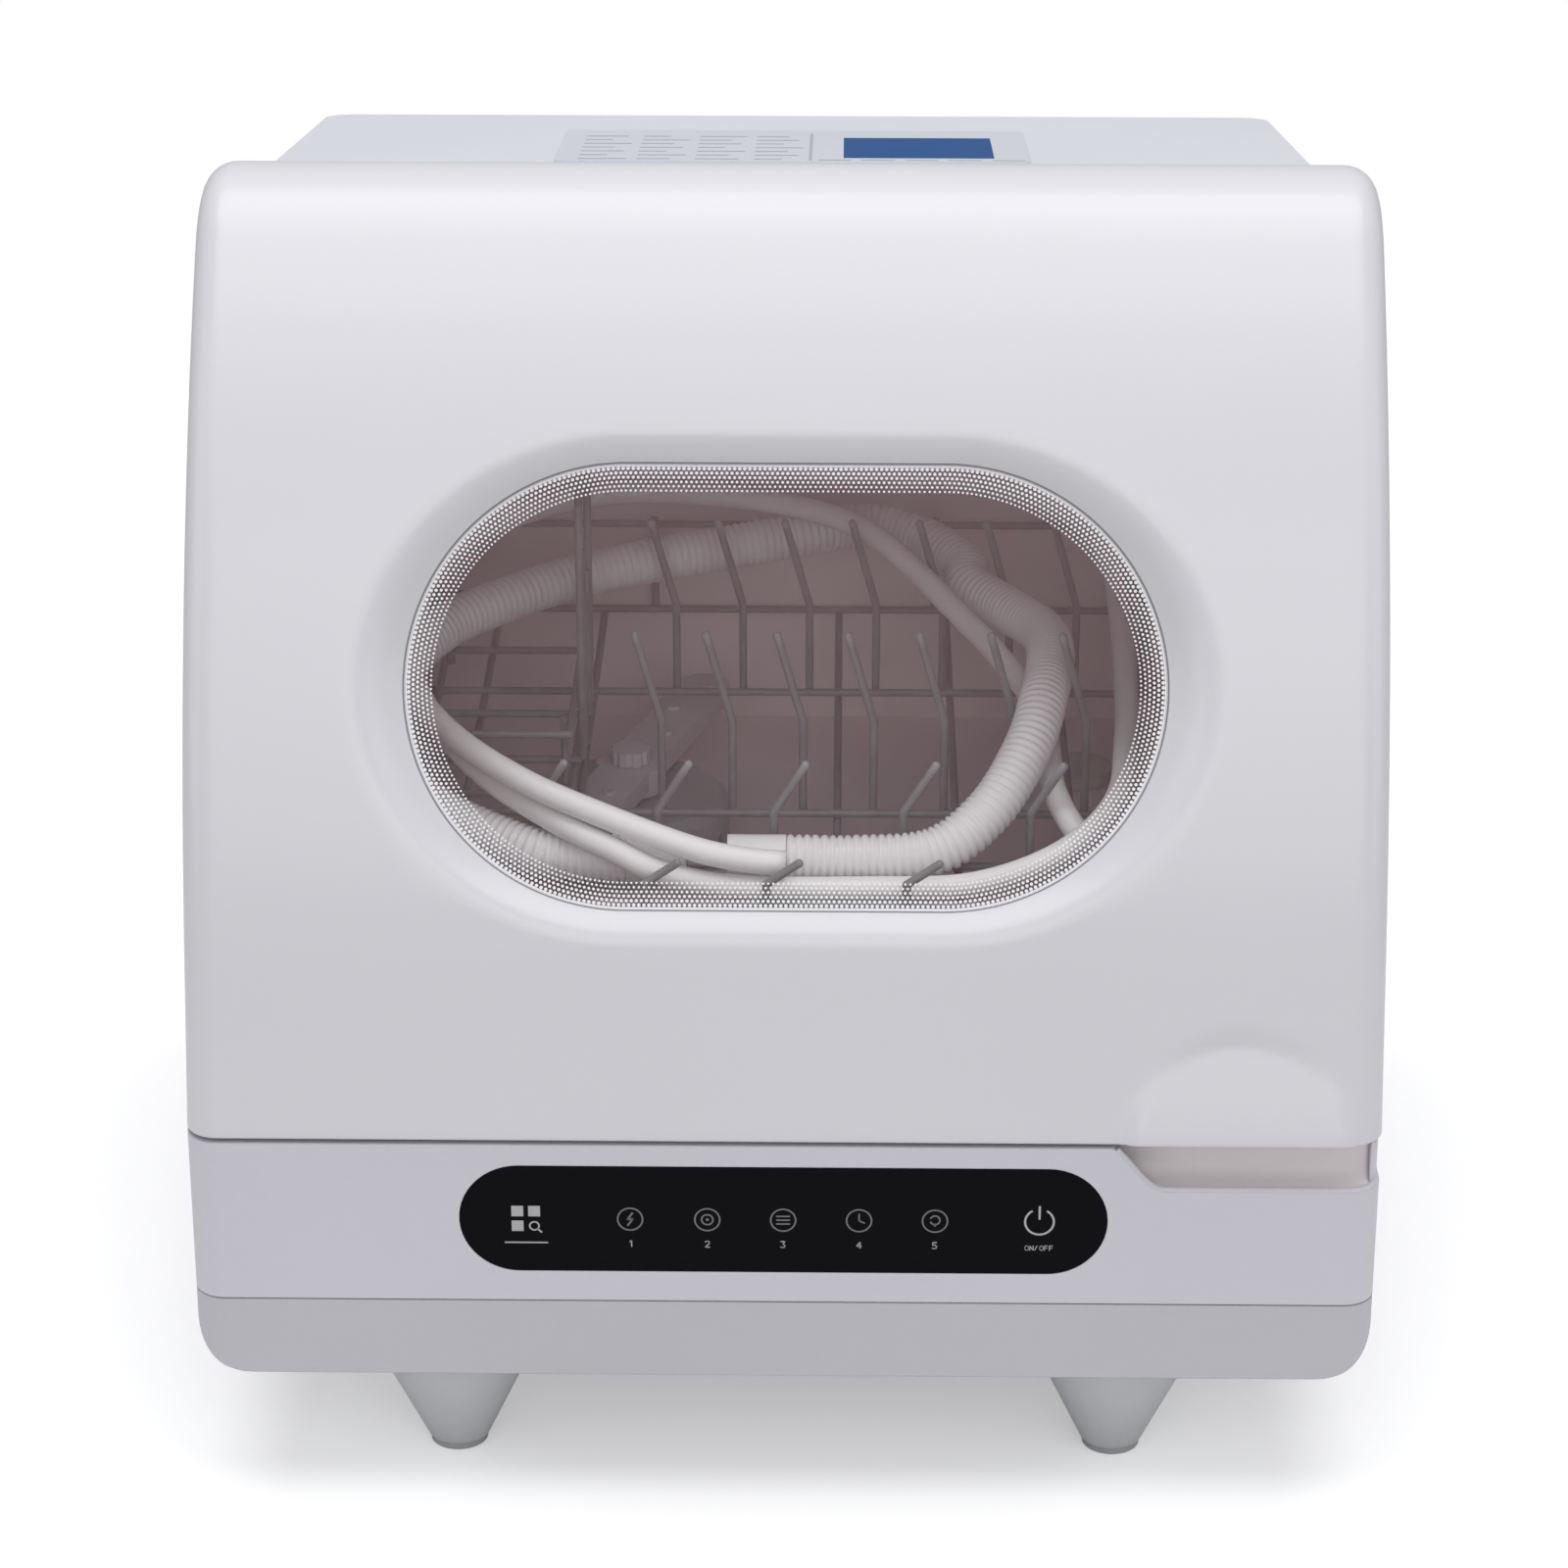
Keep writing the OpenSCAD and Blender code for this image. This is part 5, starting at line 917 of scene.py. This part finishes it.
def seam_line():
    """The thin dark joint round the glass, lying on the foot of the recess."""
    seam_foot, seam_slope = GLASS_FRONT + 0.05, 1.15
    pts, faces = outline_band(1.0, 0.1, lambda grow: seam_foot + grow * seam_slope)
    mesh_piece("window_seam", pts, faces, "hood", SEAM_GREY, smooth=False)


seam_line()


# How far a stroke runs past its ends, as a part of its width
CAP = 0.3


class Marks:
    """Printed marks, as thin shapes on a face, where place turns (u, v) into a point."""

    def __init__(self, place):
        self.place = place
        self.points = []
        self.faces = []

    def shape(self, outline):
        base = len(self.points)
        self.points += [self.place(u, v) for u, v in outline]
        self.faces.append(tuple(range(base, base + len(outline))))

    def box(self, u0, v0, u1, v1):
        self.shape([(u0, v0), (u1, v0), (u1, v1), (u0, v1)])

    def ring(self, u, v, r, width, start=0.0, end=360.0, steps=40):
        base = len(self.points)
        for k in range(steps + 1):
            w = math.radians(start + (end - start) * k / steps)
            for q in (r - width / 2, r + width / 2):
                self.points.append(self.place(u + q * math.cos(w), v + q * math.sin(w)))
        for k in range(steps):
            a = base + 2 * k
            self.faces.append((a, a + 1, a + 3, a + 2))

    def stroke(self, path, width):
        for (u0, v0), (u1, v1) in zip(path, path[1:]):
            d = math.hypot(u1 - u0, v1 - v0)
            a, b = -(v1 - v0) / d * width / 2, (u1 - u0) / d * width / 2
            e, f = (u1 - u0) / d * width * CAP, (v1 - v0) / d * width * CAP
            near = [(u0 - a - e, v0 - b - f), (u0 + a - e, v0 + b - f)]
            far = [(u1 + a + e, v1 + b + f), (u1 - a + e, v1 - b + f)]
            self.shape((near + far)[::-1])

    def dot(self, u, v, r, steps=16):
        turns = [2 * math.pi * k / steps for k in range(steps)]
        self.shape([(u + r * math.cos(w), v + r * math.sin(w)) for w in turns])

    def make(self, name, material):
        mesh_piece(name, self.points, self.faces, "cabinet", material, smooth=False)


# Strokes of the letters, in a square of side 1
GLYPHS = {
    "1": [[(0.25, 0.8), (0.5, 1), (0.5, 0)]],
    "2": [[(0, 0.85), (0.3, 1), (0.6, 0.85), (0.6, 0.6), (0, 0), (0.65, 0)]],
    "3": [[(0, 1), (0.6, 1), (0.3, 0.58), (0.6, 0.35), (0.5, 0.05), (0.2, 0), (0, 0.1)]],
    "4": [[(0.5, 0), (0.5, 1), (0, 0.3), (0.68, 0.3)]],
    "5": [[(0.6, 1), (0.08, 1), (0.05, 0.55), (0.4, 0.6), (0.62, 0.35), (0.5, 0.05), (0.15, 0), (0, 0.08)]],
    "O": [[(0.1, 0.1), (0, 0.4), (0, 0.6), (0.1, 0.9), (0.35, 1), (0.6, 0.9), (0.7, 0.6), (0.7, 0.4),
        (0.6, 0.1), (0.35, 0), (0.1, 0.1)]],
    "N": [[(0, 0), (0, 1), (0.65, 0), (0.65, 1)]],
    "F": [[(0, 0), (0, 1), (0.6, 1)], [(0, 0.52), (0.5, 0.52)]],
    "/": [[(0, 0), (0.45, 1)]],
}


def letters(marks, word, u, v, size, width):
    """A word centred on u, with its foot at v."""
    step = size * 0.95
    u -= (len(word) - 1) * step / 2 + size * 0.33
    for k, letter in enumerate(word):
        for path in GLYPHS[letter]:
            marks.stroke([(u + k * step + a * size, v + b * size) for a, b in path], width)


# The touch panel's keys from left to right, and the sizes of their signs
FIRST_KEY = -95
RING_KEYS = (-56.5, -28, 0, 28, 56)
POWER_KEY = 94.5
RING_R = 4.6
THIN = 0.6
MEDIUM = 0.7
THICK = 0.8


def on_touch(u, v):
    """A point on the touch panel: u across and v up from the floor."""
    return at(u, -0.03, v)


def touch_marks():
    """The signs and numbers on the touch panel: brighter ones at its ends, dimmer ones in the middle."""
    bright, dim = Marks(on_touch), Marks(on_touch)
    z = TOUCH_Z
    # Four small squares, the last with a round lens
    square, gap = 2.2, 3.1
    for a in (-1, 1):
        for b in (-1, 1):
            u, v = FIRST_KEY + a * gap, z + b * gap
            if a > 0 and b < 0:
                bright.ring(u, v, 1.7, THIN)
                bright.stroke([(u + 1.3, v - 1.3), (u + 2.6, v - 2.6)], MEDIUM)
            else:
                bright.box(u - square, v - square, u + square, v + square)
    bright.box(FIRST_KEY - 8, z - 10.4, FIRST_KEY + 8, z - 9.8)
    # Five signs in rings: a bolt, an eye, lines, a clock and a turning arrow
    for u in RING_KEYS:
        dim.ring(u, z, RING_R, THIN)
    bolt, eye, lines, clock, turn = RING_KEYS
    zigzag = ((0.9, 2.6), (-1.1, -0.2), (1.1, 0.2), (-0.9, -2.6))
    dim.stroke([(bolt + u, z + v) for u, v in zigzag], MEDIUM)
    dim.ring(eye, z, 2.1, THIN)
    dim.dot(eye, z, 0.6)
    for k in range(3):
        dim.stroke([(lines - 2.4, z - 1.6 + 1.6 * k), (lines + 2.4, z - 1.6 + 1.6 * k)], THIN)
    dim.stroke([(clock, z), (clock, z + 2.7)], THIN)
    dim.stroke([(clock, z), (clock + 2, z - 1)], THIN)
    dim.ring(turn, z + 0.4, 1.8, THIN, start=200, end=520)
    dim.dot(turn, z - 1.8, 0.5)
    # Power sign
    bright.ring(POWER_KEY, z, 5.3, THICK, start=120, end=420)
    bright.stroke([(POWER_KEY, z + 1.2), (POWER_KEY, z + 6.4)], THICK)
    for k, u in enumerate(RING_KEYS):
        letters(bright, str(k + 1), u, z - 11.6, 2.6, 0.42)
    letters(bright, "ON/OFF", POWER_KEY, z - 12.0, 1.9, 0.34)
    bright.make("touch_marks", PRINT_SOFT)
    dim.make("key_marks", PRINT_DIM)


touch_marks()

# Plate on the raised top
LIP_Y = HINGE_Y + (CROWN_R + 1) * math.sin(math.radians(CROWN_BACK))
LIP_Z = HINGE_Z + (CROWN_R + 1) * math.cos(math.radians(CROWN_BACK))
TOP_BACK_Y = 398.0
TOP_BACK_Z = 426.0
SLOPE = math.atan2(LIP_Z - TOP_BACK_Z, TOP_BACK_Y - LIP_Y)
PLATE_Y = 345.0
PLATE_L = 96.0
PRINT_LIFT = 0.7


def on_plate(u, v):
    """A point on the plate: u across and v back from its middle."""
    y0 = PLATE_Y - PLATE_L / 2
    z0 = LIP_Z + (TOP_BACK_Z - LIP_Z) * (y0 - LIP_Y) / (TOP_BACK_Y - LIP_Y)
    tilt, level = math.sin(SLOPE), math.cos(SLOPE)
    return at(u, y0 + v * level + PRINT_LIFT * tilt, z0 - v * tilt + PRINT_LIFT * level)


def plate_marks():
    """Rows of plain grey bars, a dividing line and a blue patch."""
    grey = Marks(on_plate)
    rows, row_gap, columns, column_gap, bar = 7, 11.5, 4, 23, 2.2
    bar_lengths = (19, 13, 17, 11)
    for row in range(rows):
        v = -42 + row * row_gap
        for column in range(columns):
            u = -84 + column * column_gap
            grey.box(u, v, u + bar_lengths[(row * 3 + column) % 4], v + bar)
    for column in range(5):
        grey.box(10 + column * 17, -44, 23 + column * 17, -42)
    grey.box(6.4, -44, 7.6, 38)
    grey.make("plate_bars", PRINT_GREY)
    blue = Marks(on_plate)
    blue.box(20, -37, 79, 25)
    blue.make("plate_patch", PRINT_BLUE)


plate_marks()


# Floor, background and light
def build_floor():
    """A round pale floor that fades out towards its edge, so that the white background shows."""
    size, steps = 1.6, 48
    fade_from, fade_to = 0.35, 1.45
    data = bpy.data.meshes.new("floor")
    turns = [2 * math.pi * k / steps for k in range(steps)]
    pts = [(0, 0, 0)] + [(size * math.cos(w), size * math.sin(w), 0) for w in turns]
    faces = [(0, 1 + k, 1 + (k + 1) % steps) for k in range(steps)]
    data.from_pydata(pts, [], faces)
    obj = bpy.data.objects.new("floor", data)
    scene.collection.objects.link(obj)
    m, nt, shader, vector = start_material("floor")
    shader.inputs["Base Color"].default_value = (0.9, 0.9, 0.9, 1)
    shader.inputs["Roughness"].default_value = 0.7
    shader.inputs["Specular IOR Level"].default_value = 0.2
    path = nt.nodes.new("ShaderNodeLightPath")
    length = nt.nodes.new("ShaderNodeVectorMath")
    length.operation = "LENGTH"
    nt.links.new(vector, length.inputs[0])
    fade = ramp(nt, length.outputs["Value"], fade_from, fade_to)
    glow = nt.nodes.new("ShaderNodeEmission")
    glow.inputs["Color"].default_value = (1, 1, 1, 1)
    glow.inputs["Strength"].default_value = 0.30
    add = nt.nodes.new("ShaderNodeAddShader")
    nt.links.new(shader.outputs["BSDF"], add.inputs[0])
    nt.links.new(glow.outputs["Emission"], add.inputs[1])
    lit = nt.nodes.new("ShaderNodeMixShader")
    nt.links.new(path.outputs["Is Camera Ray"], lit.inputs["Fac"])
    nt.links.new(shader.outputs["BSDF"], lit.inputs[1])
    nt.links.new(add.outputs["Shader"], lit.inputs[2])
    clear = nt.nodes.new("ShaderNodeBsdfTransparent")
    mix = nt.nodes.new("ShaderNodeMixShader")
    nt.links.new(fade, mix.inputs["Fac"])
    nt.links.new(lit.outputs["Shader"], mix.inputs[1])
    nt.links.new(clear.outputs["BSDF"], mix.inputs[2])
    out = next(n for n in nt.nodes if n.type == "OUTPUT_MATERIAL")
    nt.links.new(mix.outputs["Shader"], out.inputs["Surface"])
    data.materials.append(m)


build_floor()


def sky(nt, colour, strength):
    """A plain background of one colour."""
    n = nt.nodes.new("ShaderNodeBackground")
    n.inputs["Color"].default_value = rgba(colour)
    n.inputs["Strength"].default_value = strength
    return n.outputs["Background"]


def build_world():
    """Soft light on the object, and plain white where the camera looks past it."""
    world = bpy.data.worlds.new("world")
    scene.world = world
    world.use_nodes = True
    nt = world.node_tree
    nt.nodes.clear()
    out = nt.nodes.new("ShaderNodeOutputWorld")
    ray = nt.nodes.new("ShaderNodeLightPath")
    mix = nt.nodes.new("ShaderNodeMixShader")
    nt.links.new(ray.outputs["Is Camera Ray"], mix.inputs["Fac"])
    nt.links.new(sky(nt, (0.97, 0.98, 1.0), 0.42), mix.inputs[1])
    nt.links.new(sky(nt, (1, 1, 1), 1.0), mix.inputs[2])
    nt.links.new(mix.outputs["Shader"], out.inputs["Surface"])


build_world()


def area_light(name, size, energy, location, target):
    """A rectangular lamp that points at the target."""
    data = bpy.data.lights.new(name, "AREA")
    data.shape = "RECTANGLE"
    data.size, data.size_y = size
    data.energy = energy
    obj = bpy.data.objects.new(name, data)
    obj.location = location
    obj.rotation_euler = (Vector(target) - Vector(location)).to_track_quat("-Z", "Y").to_euler()
    scene.collection.objects.link(obj)


area_light("top_light", (2.4, 2.0), 33, (0.0, -0.1, 2.2), (0, 0, 0.2))
area_light("front_light", (2.0, 1.4), 11.5, (0.2, -2.2, 1.3), (0, 0, 0.25))
area_light("left_light", (1.4, 1.4), 5, (-2.2, -0.7, 0.9), (0, 0, 0.25))
area_light("right_light", (1.4, 1.4), 5, (2.2, -0.7, 0.9), (0, 0, 0.25))

bpy.context.view_layer.update()
